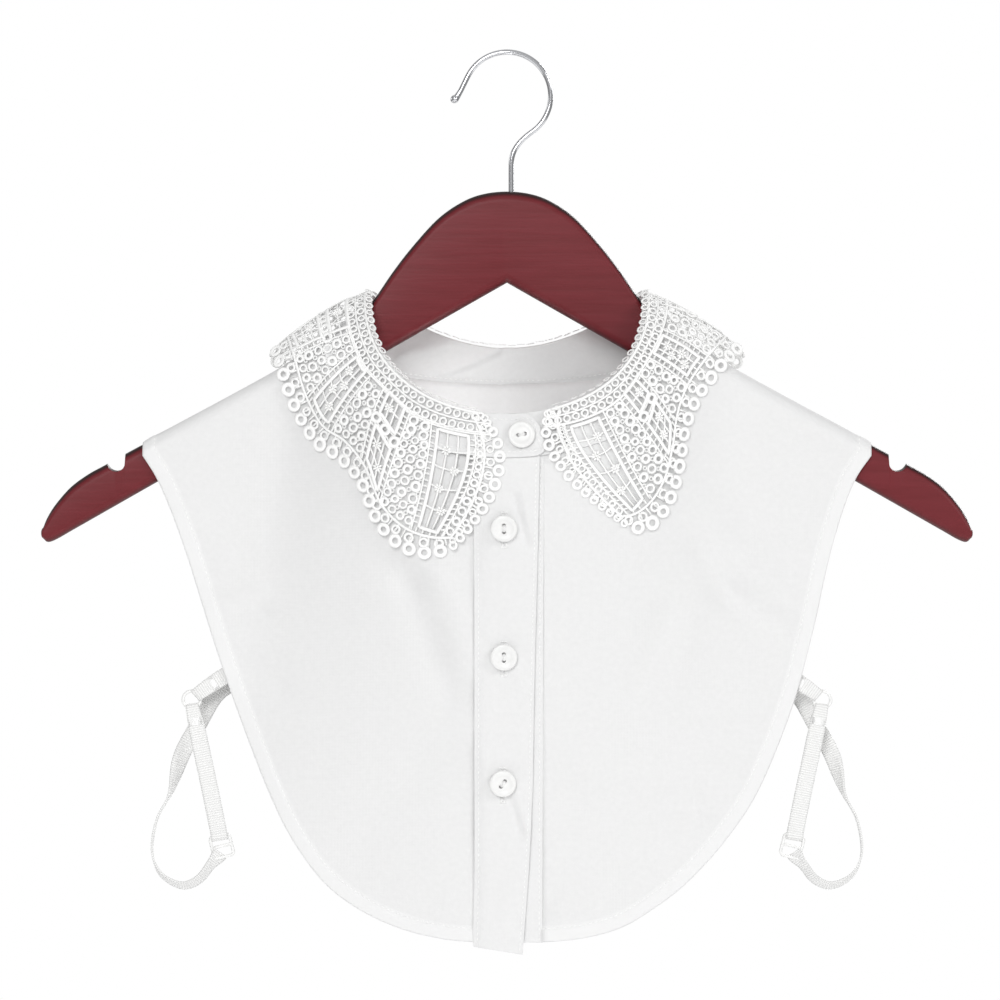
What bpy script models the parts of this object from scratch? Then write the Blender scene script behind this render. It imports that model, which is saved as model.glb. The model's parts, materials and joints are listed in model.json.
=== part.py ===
"""A sleeveless shirt dickey with a guipure lace collar, buttoned on a flat wooden hanger with a wire hook.

Front faces -Y, the photo's right is +X, +Z is up. The origin is the top of the inside of the hook,
where a rail carries it. A "turn" runs round the neck: 0 at the centre front, 90 degrees over the
shoulder seam and 180 at the centre back. A "side" is -1 on the photo's left and +1 on its right.
"""

import math
from collections import namedtuple

import bmesh
import bpy
import numpy as np
from mathutils import Matrix, Vector

MM = 0.001
LEFT, RIGHT = -1, 1

# Hanger
HANGER_THICK = 12.0
HANGER_CORNER = 5.0
HANGER_APEX = -107.8
HANGER_PITCH = 0.569
HANGER_CORNER_STEPS = 3
HANGER_TIP_ROUND = 0.4
NOTCH_REACH = 185.3
NOTCH_HEIGHT = -192.9
NOTCH_RADIUS = 4.3

# Hook
WIRE_RADIUS = 1.25
HOOK_RADIUS = 20.7
STEM_REACH = 2.0
STEM_BORE = 1.7
STEM_DEPTH = 12.0
STEM_END_GAP = 0.6
HOOK_ARC_START = 152
HOOK_ARC_END = -50
HOOK_ARC_STEP = 10

# Cloth and trim walls
PANEL_WALL = 1.2
PLACKET_WALL = 1.4
STAND_WALL = 1.5
LACE_WALL = 1.3
ELASTIC_WALL = 1.2
SEAM_GAP = 0.3

# Shoulder, where the cloth turns over the hanger's arms
SHOULDER_LIFT = 1.3
SHOULDER_WRAP = 6.5
ARM_STAND_OFF = 7.6
SHOULDER_TIP = 172.5

# Neck. Up to SEAM_FLAT_TURN the seam lies in front of or behind the hanger's arm, and past it over the arm.
SEAM_FLAT_TURN = 84.0
SEAM_REACH = 85.0
SEAM_FRONT_DROP = 48.0
SEAM_BACK_DROP = 17.0
FRONT_BULGE = 37.0
BACK_BULGE = 29.0
BULGE_REACH_NECK = 105.0
BULGE_REACH_HEM = 150.0
BULGE_AT_HEM = 0.3
BULGE_FADE = 1.6
CROWN_ROUND = 1.3
FOLD_REACH = 64.0
FOLD_SIDE_HEIGHT = -113.5
FOLD_FRONT_DROP = 55.0
FOLD_BACK_DROP = 26.0
FOLD_FRONT_DEPTH = 40.0
FOLD_BACK_DEPTH = 28.0

# Bib panels
FAN_COLUMNS = 13
WRAP_COLUMNS = 4
BIB_ROWS = 11
FAN_CROWDING = 1.15
SHOULDER_CROWDING = 6
PANEL_TOP_SHARE = 0.012

# Collar stand
STAND_ROWS = 3
STAND_TOP_END = -12.0
STAND_UNDER_END = 368.5
STAND_SEAM_GAP = 1.2
STAND_CORNER = 5.0
LAP_TURN = 24.0
LAP_FADE = 12.0

# Placket
PLACKET_COLUMNS = 4
PLACKET_ROWS = 14
LEFT_FRONT_EDGE = 14.3
RIGHT_FRONT_EDGE = 16.3
HEM_HEIGHT = -419.6
HEM_CENTER_REACH = 60.0
BACK_INSET = 2.5
PLACKET_STEP = 1.9

# Elastic
ELASTIC_WIDTH = 8.0
RING_RADIUS = 4.1
RING_WIRE = 0.8
RING_STEPS = 16
SLIDER_WIDTH = 11.0
SLIDER_HEIGHT = 12.0
SLIDER_WIRE = 1.5

# Buttons, 20 line
BUTTON_RADIUS = 6.35
BUTTON_HOLE_RADIUS = 0.95
BUTTON_HOLE_SPREAD = 1.6
BUTTON_STEPS = 20
BUTTON_STAND_OFF = 1.2
BUTTON_CUTTER = 6.0

# Lace
LACE_REPEATS = 7
LACE_SCALLOP = 1.8
LACE_CLEARANCE = 2.3
LACE_FOLD_CLEARANCE = 2.8
ARM_CLEARANCE = 10.5
LACE_FRONT_LIFT = 9.0
LACE_SIDE_LIFT = 7.5
LACE_TURN_OVER = 0.38
LACE_FRONT_OUT = 1.3
LACE_RISE = 0.1
LACE_SIDE_RISE = 0.5
LACE_STEEPEST = 2.5
LACE_SLOPE_STEP = 1.5
LACE_SPACING_SHARE = 0.7
LACE_TICKS = 80
ARM_FADE_TURN = 14.0
EDGE_FADE_TURN = 10.0
OVER_ARM_TURN = 6.0
PLACKET_HALF = 30.0
PLACKET_FADE = 8.0
WINDOW_GAPS = 3
BAR_SHARE = 0.25
RIB_SHARE = 0.36
LACE_HEAD_ROWS = [0.0, 0.09, 0.2]
LACE_TAIL_ROWS = [0.8, 0.9, 1.0]

HangerRow = namedtuple("HangerRow", "reach top trim")
HANGER_ROWS = [
    HangerRow(0, -64.6, 0),
    HangerRow(12, -66.0, 0),
    HangerRow(22, -70.0, 0),
    HangerRow(33, -77.8, 0),
    HangerRow(45, -91.0, 0),
    HangerRow(54, -102.6, 0),
    HangerRow(64, -117.0, 0),
    HangerRow(72, -125.0, 0),
    HangerRow(80, -131.2, 0),
    HangerRow(95, -141.4, 0),
    HangerRow(110, -150.8, 0),
    HangerRow(140, -167.2, 0),
    HangerRow(173, -184.6, 0),
    HangerRow(191, -194.4, 0),
    HangerRow(199, -198.8, 0),
    HangerRow(207, -204.7, 0),
    HangerRow(214, -212.6, 0),
    HangerRow(218, -218.8, 1.0),
    HangerRow(220.2, -224.0, 4.0),
]

# The bib's outline from the shoulder tip down to the placket: how far it reaches on each side
HemRow = namedtuple("HemRow", "height left right")
HEM_ROWS = [
    HemRow(HEM_HEIGHT, LEFT_FRONT_EDGE, RIGHT_FRONT_EDGE),
    HemRow(-418.0, 31.0, 35.0),
    HemRow(-413.5, 50.0, 53.0),
    HemRow(-405.0, 69.0, 68.0),
    HemRow(-392.0, 86.5, 85.0),
    HemRow(-372.0, 101.5, 103.5),
    HemRow(-349.0, 113.0, 119.0),
    HemRow(-315.0, 126.5, 133.5),
    HemRow(-281.0, 138.5, 143.5),
    HemRow(-236.0, 153.0, 154.0),
    HemRow(-207.0, 164.0, 163.5),
    HemRow(-191.0, SHOULDER_TIP, SHOULDER_TIP),
]

# The lace collar's outer edge, a row for each turn round the neck. Sway bends the row sideways.
LaceRow = namedtuple("LaceRow", "turn reach height sway")
LACE_FRONT_LEFT = [
    LaceRow(11.5, 27, -233, -38),
    LaceRow(20, 38, -237, -22),
    LaceRow(30, 50.5, -234, -9),
    LaceRow(40, 61.5, -223, -2),
    LaceRow(49, 69, -205, 1),
    LaceRow(56, 79.5, -193, 2),
    LaceRow(63, 92, -185, 2),
    LaceRow(69.5, 102.5, -169, 0),
    LaceRow(78, 109.7, -149.5, 0),
]
LACE_FRONT_RIGHT = [
    LaceRow(17.5, 57, -222, -34),
    LaceRow(26, 66, -225, -20),
    LaceRow(35, 74, -220, -9),
    LaceRow(43, 80, -209, -3),
    LaceRow(50, 83.5, -194, 0),
    LaceRow(57, 86, -179, 0),
    LaceRow(65, 91, -166, 0),
    LaceRow(72, 99.5, -154, 0),
    LaceRow(80, 107.5, -145, 0),
]
LACE_BACK = [
    LaceRow(90, 113, -141, 0),
    LaceRow(104, 112, -147.5, 0),
    LaceRow(118, 102, -166, 0),
    LaceRow(133, 83, -184, 0),
    LaceRow(149, 58, -196, 0),
    LaceRow(165, 29, -203, 0),
    LaceRow(180, 0, -205, 0),
]

# Soft folds of the cloth: a line from one place to the other, its width and how far it stands out
Fold = namedtuple("Fold", "from_reach from_height to_reach to_height width out")
FRONT_FOLDS = [
    Fold(-70, -200, -27, -290, 14, 3.0),
    Fold(-27, -290, -18, -330, 12, 2.0),
    Fold(80, -225, 105, -262, 13, 2.6),
    Fold(105, -262, 138, -280, 10, 1.8),
    Fold(-132, -262, -100, -280, 8, 1.8),
]
BACK_FOLDS = [
    Fold(-60, -200, -40, -330, 18, 2.6),
    Fold(48, -210, 66, -350, 16, 2.2),
    Fold(4, -190, 0, -300, 12, 1.6),
]

PlacketRow = namedtuple("PlacketRow", "height left right")
TOP_PLACKET_ROWS = [
    PlacketRow(-191, -15.8, 15.2),
    PlacketRow(-250, -15.4, 14.0),
    PlacketRow(-300, -15.4, 12.8),
    PlacketRow(-345, -15.4, 12.2),
    PlacketRow(-385, -15.4, 10.4),
    PlacketRow(-423.5, -16.2, 7.6),
]
UNDER_PLACKET_ROWS = [
    PlacketRow(-191, -12.0, 16.0),
    PlacketRow(-300, -12.0, 16.0),
    PlacketRow(-419.6, -12.0, 16.0),
]

Button = namedtuple("Button", "name reach height turn")
BUTTONS = [
    Button("button_stand", 6.8, -178.4, 8),
    Button("button_1", -1.4, -221.4, 90),
    Button("button_2", -1.6, -282.6, 90),
    Button("button_3", -2.0, -343.0, 55),
]

# The elastic's route at the photo's left side, in order. Turn 0 lays its width across the picture.
ElasticRow = namedtuple("ElasticRow", "reach depth height turn")
TAB_ROUTE = [
    ElasticRow(128.5, -6.0, -291.0, 0),
    ElasticRow(136.5, -5.6, -295.8, 0),
    ElasticRow(145.9, -5.2, -301.7, 0),
]
STRAP_ROUTE = [
    ElasticRow(149.0, -5.0, -310.4, 0),
    ElasticRow(145.8, -5.4, -326.0, 8),
    ElasticRow(141.2, -5.6, -348.0, 0),
    ElasticRow(137.3, -5.4, -369.0, 0),
]
LOOP_ROUTE = [
    ElasticRow(126.5, 6.2, -296.0, 0),
    ElasticRow(138.5, 5.4, -304.0, 0),
    ElasticRow(147.5, 2.6, -319.0, 14),
    ElasticRow(155.0, 0.6, -333.0, 24),
    ElasticRow(160.2, -1.0, -350.5, 80),
    ElasticRow(166.2, -2.4, -362.0, 88),
    ElasticRow(168.8, -3.4, -374.0, 90),
    ElasticRow(168.0, -4.2, -382.6, 96),
    ElasticRow(163.6, -4.8, -390.0, 108),
    ElasticRow(154.5, -5.0, -394.3, 118),
    ElasticRow(146.6, -5.2, -391.4, 120),
    ElasticRow(141.0, -5.4, -384.6, 122),
]
RING_PLACE = ElasticRow(149.7, -5.2, -305.6, 0)
SLIDER_PLACE = ElasticRow(135.6, -5.4, -375.4, 14)


def mm_vector(x, y, z):
    return Vector((x, y, z)) * MM


def clear_scene():
    for thing in list(bpy.data.objects):
        bpy.data.objects.remove(thing, do_unlink=True)


def finish(name, color, roughness, metallic=0.0):
    material = bpy.data.materials.new(name)
    material.use_nodes = True
    shader = material.node_tree.nodes["Principled BSDF"]
    shader.inputs["Base Color"].default_value = (*color, 1.0)
    shader.inputs["Roughness"].default_value = roughness
    shader.inputs["Metallic"].default_value = metallic
    return material


def add_object(name, mesh, material):
    thing = bpy.data.objects.new(name, mesh)
    bpy.context.scene.collection.objects.link(thing)
    if material:
        mesh.materials.append(material)
    return thing


def mesh_from(bm, name):
    bmesh.ops.recalc_face_normals(bm, faces=bm.faces)
    mesh = bpy.data.meshes.new(name)
    bm.to_mesh(mesh)
    bm.free()
    mesh.shade_smooth()
    mesh.set_sharp_from_angle(angle=math.radians(40))
    return mesh


def curve_point(points, at):
    """The point at index 'at' of a smooth curve through the points."""
    last = len(points) - 1
    start = min(int(at), last - 1)
    part = at - start
    p1 = np.array(points[start], float)
    p2 = np.array(points[start + 1], float)
    p0 = np.array(points[start - 1], float) if start > 0 else 2 * p1 - p2
    p3 = np.array(points[start + 2], float) if start + 2 <= last else 2 * p2 - p1
    bend = 2 * p0 - 5 * p1 + 4 * p2 - p3
    twist = -p0 + 3 * p1 - 3 * p2 + p3
    return 0.5 * (2 * p1 + (p2 - p0) * part + bend * part**2 + twist * part**3)


def even_index(points, share, steps=8):
    """The index at which a share of the curve's whole length has passed."""
    ticks = np.linspace(0, len(points) - 1, (len(points) - 1) * steps + 1)
    places = np.array([curve_point(points, tick) for tick in ticks])
    lengths = np.linalg.norm(np.diff(places, axis=0), axis=1)
    passed = np.concatenate([[0], np.cumsum(lengths)])
    return float(np.interp(share * passed[-1], passed, ticks))


def sheet(name, across, down, place, wall, material, is_gap=None):
    """A cloth wall: a grid of cells whose middle surface is place(column, row), in millimetres."""
    bm = bmesh.new()
    bmesh.ops.create_grid(bm, x_segments=across, y_segments=down, size=0.5)
    if is_gap:
        gaps = []
        for face in bm.faces:
            center = face.calc_center_median()
            column = int((center.x + 0.5) * across)
            row = int((center.y + 0.5) * down)
            if is_gap(column, row):
                gaps.append(face)
        bmesh.ops.delete(bm, geom=gaps, context="FACES")
    for vert in bm.verts:
        column = round((vert.co.x + 0.5) * across)
        row = round((vert.co.y + 0.5) * down)
        vert.co = Vector(place(column, row)) * MM
    mesh = bpy.data.meshes.new(name)
    bm.to_mesh(mesh)
    bm.free()
    mesh.shade_smooth()
    thing = add_object(name, mesh, material)
    solidify = thing.modifiers.new("wall", "SOLIDIFY")
    solidify.thickness = wall * MM
    solidify.offset = 0.0
    solidify.use_even_offset = True
    solidify.use_quality_normals = True
    return thing


# The hanger's and the cloth's own forms

def hanger_top(reach):
    reaches = [row.reach for row in HANGER_ROWS]
    tops = [row.top for row in HANGER_ROWS]
    return float(np.interp(abs(reach), reaches, tops))


def hanger_bottom(reach):
    return HANGER_APEX - HANGER_PITCH * abs(reach)


def shoulder_line(reach):
    return hanger_top(reach) + SHOULDER_LIFT


SEAM_SIDE_HEIGHT = shoulder_line(SEAM_REACH) - SHOULDER_WRAP


def fold_out(folds, x, z):
    """How far the soft folds push the cloth outwards at this place."""
    out = 0.0
    for fold in folds:
        start = np.array([fold.from_reach, fold.from_height])
        run = np.array([fold.to_reach, fold.to_height]) - start
        share = np.clip(np.dot([x, z] - start, run) / np.dot(run, run), 0, 1)
        away = np.linalg.norm([x, z] - start - share * run) / fold.width
        out += fold.out * math.exp(-away * away)
    return out


def fall(x, z, bulge, neck_height, folds):
    """How far the cloth hangs in front of (or behind) the hanger's middle plane."""
    down = np.clip((neck_height - z) / (neck_height - HEM_HEIGHT), 0, 1)
    keep = BULGE_AT_HEM + (1 - BULGE_AT_HEM) * (1 - down) ** BULGE_FADE
    spread = BULGE_REACH_NECK + (BULGE_REACH_HEM - BULGE_REACH_NECK) * down
    crown = max(0.0, 1 - (x / spread) ** 2) ** CROWN_ROUND
    return ARM_STAND_OFF + bulge * keep * crown + fold_out(folds, x, z)


def front_depth(x, z):
    return -fall(x, z, FRONT_BULGE, SEAM_SIDE_HEIGHT - SEAM_FRONT_DROP, FRONT_FOLDS)


def back_depth(x, z):
    return fall(x, z, BACK_BULGE, SEAM_SIDE_HEIGHT - SEAM_BACK_DROP, BACK_FOLDS)


def depth(x, z, is_front):
    return front_depth(x, z) if is_front else back_depth(x, z)


def seam_point(turn, side):
    """The neck seam, for a turn in degrees from the centre front."""
    is_front = turn <= 90
    from_center = turn if is_front else 180 - turn
    drop = SEAM_FRONT_DROP if is_front else SEAM_BACK_DROP
    if from_center <= SEAM_FLAT_TURN:
        angle = math.radians(from_center / SEAM_FLAT_TURN * 90)
        x = SEAM_REACH * math.sin(angle)
        z = SEAM_SIDE_HEIGHT - drop * math.cos(angle)
        return np.array([side * x, depth(side * x, z, is_front), z])
    over = math.radians((90 - from_center) / (90 - SEAM_FLAT_TURN) * 90)
    out = depth(side * SEAM_REACH, SEAM_SIDE_HEIGHT, is_front)
    z = shoulder_line(SEAM_REACH) - SHOULDER_WRAP * (1 - math.cos(over))
    return np.array([side * SEAM_REACH, out * math.sin(over), z])


def fold_point(turn, side):
    """The top edge of the stand, where the lace turns over."""
    is_front = turn <= 90
    level = abs(math.cos(math.radians(turn)))
    x = FOLD_REACH * math.sin(math.radians(turn))
    if is_front:
        z = FOLD_SIDE_HEIGHT - FOLD_FRONT_DROP * level**0.85
        return np.array([side * x, -FOLD_FRONT_DEPTH * level**0.5, z])
    z = FOLD_SIDE_HEIGHT - FOLD_BACK_DROP * level**2
    return np.array([side * x, FOLD_BACK_DEPTH * level**0.5, z])


def turn_of_reach(reach):
    """The seam's turn at which the front neck seam is this far from the middle."""
    return math.degrees(math.asin(reach / SEAM_REACH)) * SEAM_FLAT_TURN / 90


# Bib panels

def hem_curve(side, inset, edge):
    """The outline from the centre to the shoulder tip, as (reach, height) points."""
    points = []
    for row in HEM_ROWS:
        reach = row.left if side == LEFT else row.right
        rise = inset if reach < HEM_CENTER_REACH else 0.0
        points.append((max(edge, reach - inset), row.height + rise))
    points[0] = (edge, points[0][1])
    points[-1] = (SHOULDER_TIP, shoulder_line(SHOULDER_TIP) - SHOULDER_WRAP)
    return points


def fan_point(side, share, down, outline, edge, is_front):
    """A place on a bib: share runs from the centre line to the shoulder, down from neck to hem."""
    edge_turn = turn_of_reach(edge)
    turn = edge_turn + (SEAM_FLAT_TURN - edge_turn) * share
    neck = seam_point(turn if is_front else 180 - turn, side)
    reach, height = curve_point(outline, even_index(outline, share))
    x = abs(neck[0]) + (reach - abs(neck[0])) * down
    z = neck[2] + (height - neck[2]) * down
    tip_height = shoulder_line(SHOULDER_TIP) - SHOULDER_WRAP
    straight = SEAM_SIDE_HEIGHT + (tip_height - SEAM_SIDE_HEIGHT) * down
    z += (shoulder_line(x) - SHOULDER_WRAP - straight) * share**SHOULDER_CROWDING
    return np.array([side * x, depth(side * x, z, is_front), z])


def wrap_point(side, over, down, is_front):
    """A place on the turn over the hanger's arm: over is 90 degrees at the front and 0 at the seam."""
    x = SEAM_REACH + (SHOULDER_TIP - SEAM_REACH) * down
    low = shoulder_line(x) - SHOULDER_WRAP
    out = depth(side * x, low, is_front)
    edge = math.copysign(SEAM_GAP / 2, out)
    level = math.sin(math.radians(over))
    rise = math.cos(math.radians(over))
    return np.array([side * x, out * level + edge * rise, low + SHOULDER_WRAP * rise])


def below_seam(down):
    """The share of the way from neck to hem, starting just under the neck seam."""
    return PANEL_TOP_SHARE + (1 - PANEL_TOP_SHARE) * down


def front_panel(name, side, edge, material):
    outline = hem_curve(side, 0.0, edge)

    def place(column, row):
        down = below_seam(row / BIB_ROWS)
        if column <= FAN_COLUMNS:
            share = 1 - (1 - column / FAN_COLUMNS) ** FAN_CROWDING
            return fan_point(side, share, down, outline, edge, True)
        over = 90 * (1 - (column - FAN_COLUMNS) / WRAP_COLUMNS)
        return wrap_point(side, over, down, True)

    return sheet(name, FAN_COLUMNS + WRAP_COLUMNS, BIB_ROWS, place, PANEL_WALL, material)


def back_panel(name, material):
    half = FAN_COLUMNS + WRAP_COLUMNS
    outlines = {side: hem_curve(side, BACK_INSET, 0.0) for side in (LEFT, RIGHT)}

    def place(column, row):
        side = LEFT if column < half else RIGHT
        step = abs(column - half)
        down = below_seam(row / BIB_ROWS)
        if step <= FAN_COLUMNS:
            share = 1 - (1 - step / FAN_COLUMNS) ** FAN_CROWDING
            return fan_point(side, share, down, outlines[side], 0.0, False)
        over = 90 * (1 - (step - FAN_COLUMNS) / WRAP_COLUMNS)
        return wrap_point(side, over, down, False)

    return sheet(name, 2 * half, BIB_ROWS, place, PANEL_WALL, material)


def placket(name, rows, lift, material):
    heights = [row.height for row in rows][::-1]
    lefts = [row.left for row in rows][::-1]
    rights = [row.right for row in rows][::-1]

    def place(column, row):
        z = heights[-1] + (heights[0] - heights[-1]) * row / PLACKET_ROWS
        left = np.interp(z, heights, lefts)
        right = np.interp(z, heights, rights)
        x = left + (right - left) * column / PLACKET_COLUMNS
        return np.array([x, front_depth(x, z) - lift, z])

    return sheet(name, PLACKET_COLUMNS, PLACKET_ROWS, place, PLACKET_WALL, material)


# Collar stand

def stand_turns():
    """Turns round the neck, from the end of the top lap by the photo's left side to the under lap."""
    back_left = 180 - SEAM_FLAT_TURN
    back_right = 180 + SEAM_FLAT_TURN
    front_right = 360 - SEAM_FLAT_TURN
    parts = [
        np.linspace(STAND_TOP_END, SEAM_FLAT_TURN, 13),
        np.linspace(SEAM_FLAT_TURN, back_left, 5)[1:],
        np.linspace(back_left, back_right, 17)[1:],
        np.linspace(back_right, front_right, 5)[1:],
        np.linspace(front_right, STAND_UNDER_END, 12)[1:],
    ]
    return np.concatenate(parts)


def ring_place(turn):
    """(turn from the front, side) for a turn that runs the whole way round from the photo's left."""
    if turn < 0:
        return -turn, RIGHT
    if turn <= 180:
        return turn, LEFT
    if turn <= 360:
        return 360 - turn, RIGHT
    return turn - 360, LEFT


def lap_lift(turn):
    """How far the stand's top lap stands in front of the under lap."""
    return PLACKET_STEP * np.clip((LAP_TURN - turn) / LAP_FADE, 0, 1)


def stand_point(turn, up):
    """A place on the stand's middle surface, up from the neck seam to the fold."""
    from_front, side = ring_place(turn)
    low = seam_point(from_front, side)
    high = fold_point(from_front, side)
    run = high - low
    length = np.linalg.norm(run)
    start = STAND_SEAM_GAP / length
    end_gap = turn - STAND_TOP_END
    corner = STAND_CORNER * max(0.0, 1 - end_gap / STAND_CORNER) ** 2
    place = low + run * (start + (1 - start - corner / length) * up)
    place[1] -= lap_lift(turn)
    return place


def collar_stand(name, material):
    turns = stand_turns()

    def place(column, row):
        return stand_point(turns[column], 1 - row / STAND_ROWS)

    return sheet(name, len(turns) - 1, STAND_ROWS, place, STAND_WALL, material)


# Lace

def window_rows():
    """Shares of the way from fold to edge: head band, the windows' gaps and bars, edge band."""
    top, bottom = LACE_HEAD_ROWS[-1], LACE_TAIL_ROWS[0]
    pitch = (bottom - top) / (WINDOW_GAPS - BAR_SHARE)
    rows = []
    for gap in range(WINDOW_GAPS - 1):
        gap_end = top + pitch * (gap + 1 - BAR_SHARE)
        rows += [gap_end, top + pitch * (gap + 1)]
    return LACE_HEAD_ROWS + rows + LACE_TAIL_ROWS


def window_columns():
    """Shares of the way round: for each repeat a rib, then the window's gaps and bars."""
    pitch = (1 - RIB_SHARE) / (WINDOW_GAPS - BAR_SHARE)
    one = [RIB_SHARE / 2, RIB_SHARE]
    for gap in range(WINDOW_GAPS - 1):
        one += [RIB_SHARE + pitch * (gap + 1 - BAR_SHARE), RIB_SHARE + pitch * (gap + 1)]
    one.append(1.0)
    columns = [0.0]
    for repeat in range(LACE_REPEATS):
        columns += [(repeat + share) / (LACE_REPEATS + RIB_SHARE) for share in one]
    tail = (1 - columns[-1]) / 2
    return columns + [columns[-1] + tail, 1.0]


def is_window_gap(column, row):
    in_repeat = column % (2 * WINDOW_GAPS + 1)
    if column >= LACE_REPEATS * (2 * WINDOW_GAPS + 1) or in_repeat < 2 or in_repeat % 2:
        return False
    first = len(LACE_HEAD_ROWS) - 1
    return first <= row < first + 2 * WINDOW_GAPS - 1 and (row - first) % 2 == 0


def smaller(a, b, soft=1.0):
    """The smaller of two, rounded where they are close."""
    mix = np.clip(0.5 + 0.5 * (b - a) / soft, 0, 1)
    return b + (a - b) * mix - soft * mix * (1 - mix)


def stand_lines(side, is_front):
    """The stand's lower and upper edges over a quarter of the neck, as two arrays of places."""
    if is_front and side == LEFT:
        turns = np.linspace(STAND_TOP_END, SEAM_FLAT_TURN, 40)
    elif is_front:
        turns = np.linspace(STAND_UNDER_END, 360 - SEAM_FLAT_TURN, 40)
    else:
        turns = np.linspace(180 + side * SEAM_FLAT_TURN, 180, 30)
    low = np.array([stand_point(turn, 0.0) for turn in turns])
    high = np.array([stand_point(turn, 1.0) for turn in turns])
    return low, high


STAND_LINES = {}
for stand_side in (LEFT, RIGHT):
    for stand_is_front in (True, False):
        STAND_LINES[stand_side, stand_is_front] = stand_lines(stand_side, stand_is_front)


def under_lace(side, x, z, is_front):
    """How far out the stand, placket or panel under the lace reaches at this place."""
    low, high = STAND_LINES[side, is_front]
    sign = -1 if is_front else 1
    reach = side * x
    out = 0.0
    lap = PLACKET_STEP * np.clip((PLACKET_HALF - reach) / PLACKET_FADE, 0, 1)
    up = (z - low[:, 2]) / (high[:, 2] - low[:, 2])
    inside = (up > -0.15) & (up < 1.05)
    if inside.sum() > 1:
        across = side * (low[:, 0] + (high[:, 0] - low[:, 0]) * up)[inside]
        outward = sign * (low[:, 1] + (high[:, 1] - low[:, 1]) * up)[inside]
        order = np.argsort(across)
        if across[order[0]] <= reach <= across[order[-1]]:
            out = float(np.interp(reach, across[order], outward[order]))
            if is_front and side == RIGHT:
                out += lap
    seam_height = np.interp(reach, side * low[:, 0], low[:, 2])
    if reach > SEAM_REACH:
        seam_height = shoulder_line(reach)
    if z < seam_height:
        cloth = abs(depth(x, z, is_front))
        if is_front and side == LEFT:
            cloth += lap
        if reach > SEAM_REACH:
            below = np.clip((shoulder_line(reach) - z) / SHOULDER_WRAP, 0, 1)
            cloth *= math.sqrt(1 - (1 - below) ** 2)
        out = max(out, cloth)
    return out


def lace_rest(side, x, z, is_front):
    """The depth at which the lace's middle surface lies just clear of what is under it."""
    step = LACE_SLOPE_STEP
    run_x = under_lace(side, x + step, z, is_front) - under_lace(side, x - step, z, is_front)
    run_z = under_lace(side, x, z + step, is_front) - under_lace(side, x, z - step, is_front)
    steepness = min(LACE_STEEPEST, math.sqrt(1 + (run_x / (2 * step)) ** 2 + (run_z / (2 * step)) ** 2))
    return under_lace(side, x, z, is_front) + LACE_CLEARANCE * steepness


def lace_edge(turn, reach, height, side):
    """The outer edge of the lace at this turn, which lies on the cloth or over the hanger's arm."""
    is_front = turn <= 90
    sign = -1 if is_front else 1
    past = abs(90 - turn)
    over_arm = ARM_CLEARANCE * min(1.0, past / ARM_FADE_TURN)
    lie = max(lace_rest(side, side * reach, height, is_front), over_arm)
    lie *= sign * min(1.0, past / EDGE_FADE_TURN)
    return np.array([side * reach, lie, height])


def lace_point(side, rows, at, share):
    """A place on the lace: at is the index in the table, share the way from fold to edge."""
    turn, reach, height, sway = curve_point(rows, at)
    turn = min(180.0, turn)
    top = fold_point(turn, side)
    edge = lace_edge(turn, reach, height, side)
    across = math.sin(math.radians(turn))
    forward = math.cos(math.radians(turn))
    out = np.array([side * across, -forward * LACE_FRONT_OUT, LACE_RISE + LACE_SIDE_RISE * across])
    out /= np.linalg.norm(out)
    start = top + out * LACE_FOLD_CLEARANCE
    if side == LEFT and turn < 90:
        start[1] -= lap_lift(turn)
    lift = LACE_FRONT_LIFT + (LACE_SIDE_LIFT - LACE_FRONT_LIFT) * across
    middle = start + (edge - start) * LACE_TURN_OVER + out * lift
    middle[0] += side * sway
    place = start * (1 - share) ** 2 + 2 * middle * share * (1 - share) + edge * share**2
    if abs(90 - turn) > OVER_ARM_TURN:
        sign = -1 if turn <= 90 else 1
        rest = lace_rest(side, place[0], place[2], turn <= 90)
        place[1] = -sign * smaller(-sign * place[1], -rest, 2.0)
    return place


def lace_half(name, side, material):
    front = LACE_FRONT_LEFT if side == LEFT else LACE_FRONT_RIGHT
    table = [tuple(row) for row in front + LACE_BACK]
    columns, rows = window_columns(), window_rows()
    ticks = np.linspace(0, len(table) - 1, LACE_TICKS)
    middles = np.array([lace_point(side, table, tick, LACE_SPACING_SHARE) for tick in ticks])
    passed = np.concatenate([[0], np.cumsum(np.linalg.norm(np.diff(middles, axis=0), axis=1))])

    def place(column, row):
        at = float(np.interp(columns[column] * passed[-1], passed, ticks))
        share = rows[row]
        point = lace_point(side, table, at, share)
        if row == len(rows) - 1 and column % 2:
            inner = lace_point(side, table, at, rows[-2])
            point += (point - inner) / np.linalg.norm(point - inner) * LACE_SCALLOP
        if column == len(columns) - 1:
            point[0] = side * SEAM_GAP
        return point

    return sheet(name, len(columns) - 1, len(rows) - 1, place, LACE_WALL, material, is_window_gap)


# Buttons

ButtonRow = namedtuple("ButtonRow", "radius out")
BUTTON_PROFILE = [
    ButtonRow(0.0, 0.9),
    ButtonRow(3.9, 0.9),
    ButtonRow(4.9, 1.5),
    ButtonRow(5.8, 1.4),
    ButtonRow(BUTTON_RADIUS, 0.7),
    ButtonRow(BUTTON_RADIUS - 0.2, 0.0),
    ButtonRow(4.8, -0.6),
    ButtonRow(0.0, -0.6),
]


def spin_round(bm, outline, steps):
    """Spins an outline in the XZ plane once round Z and closes it."""
    axis = (0, 0, 1)
    bmesh.ops.spin(bm, geom=outline, cent=(0, 0, 0), axis=axis, angle=math.tau, steps=steps, use_merge=True)
    bmesh.ops.remove_doubles(bm, verts=bm.verts, dist=0.01 * MM)


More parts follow.
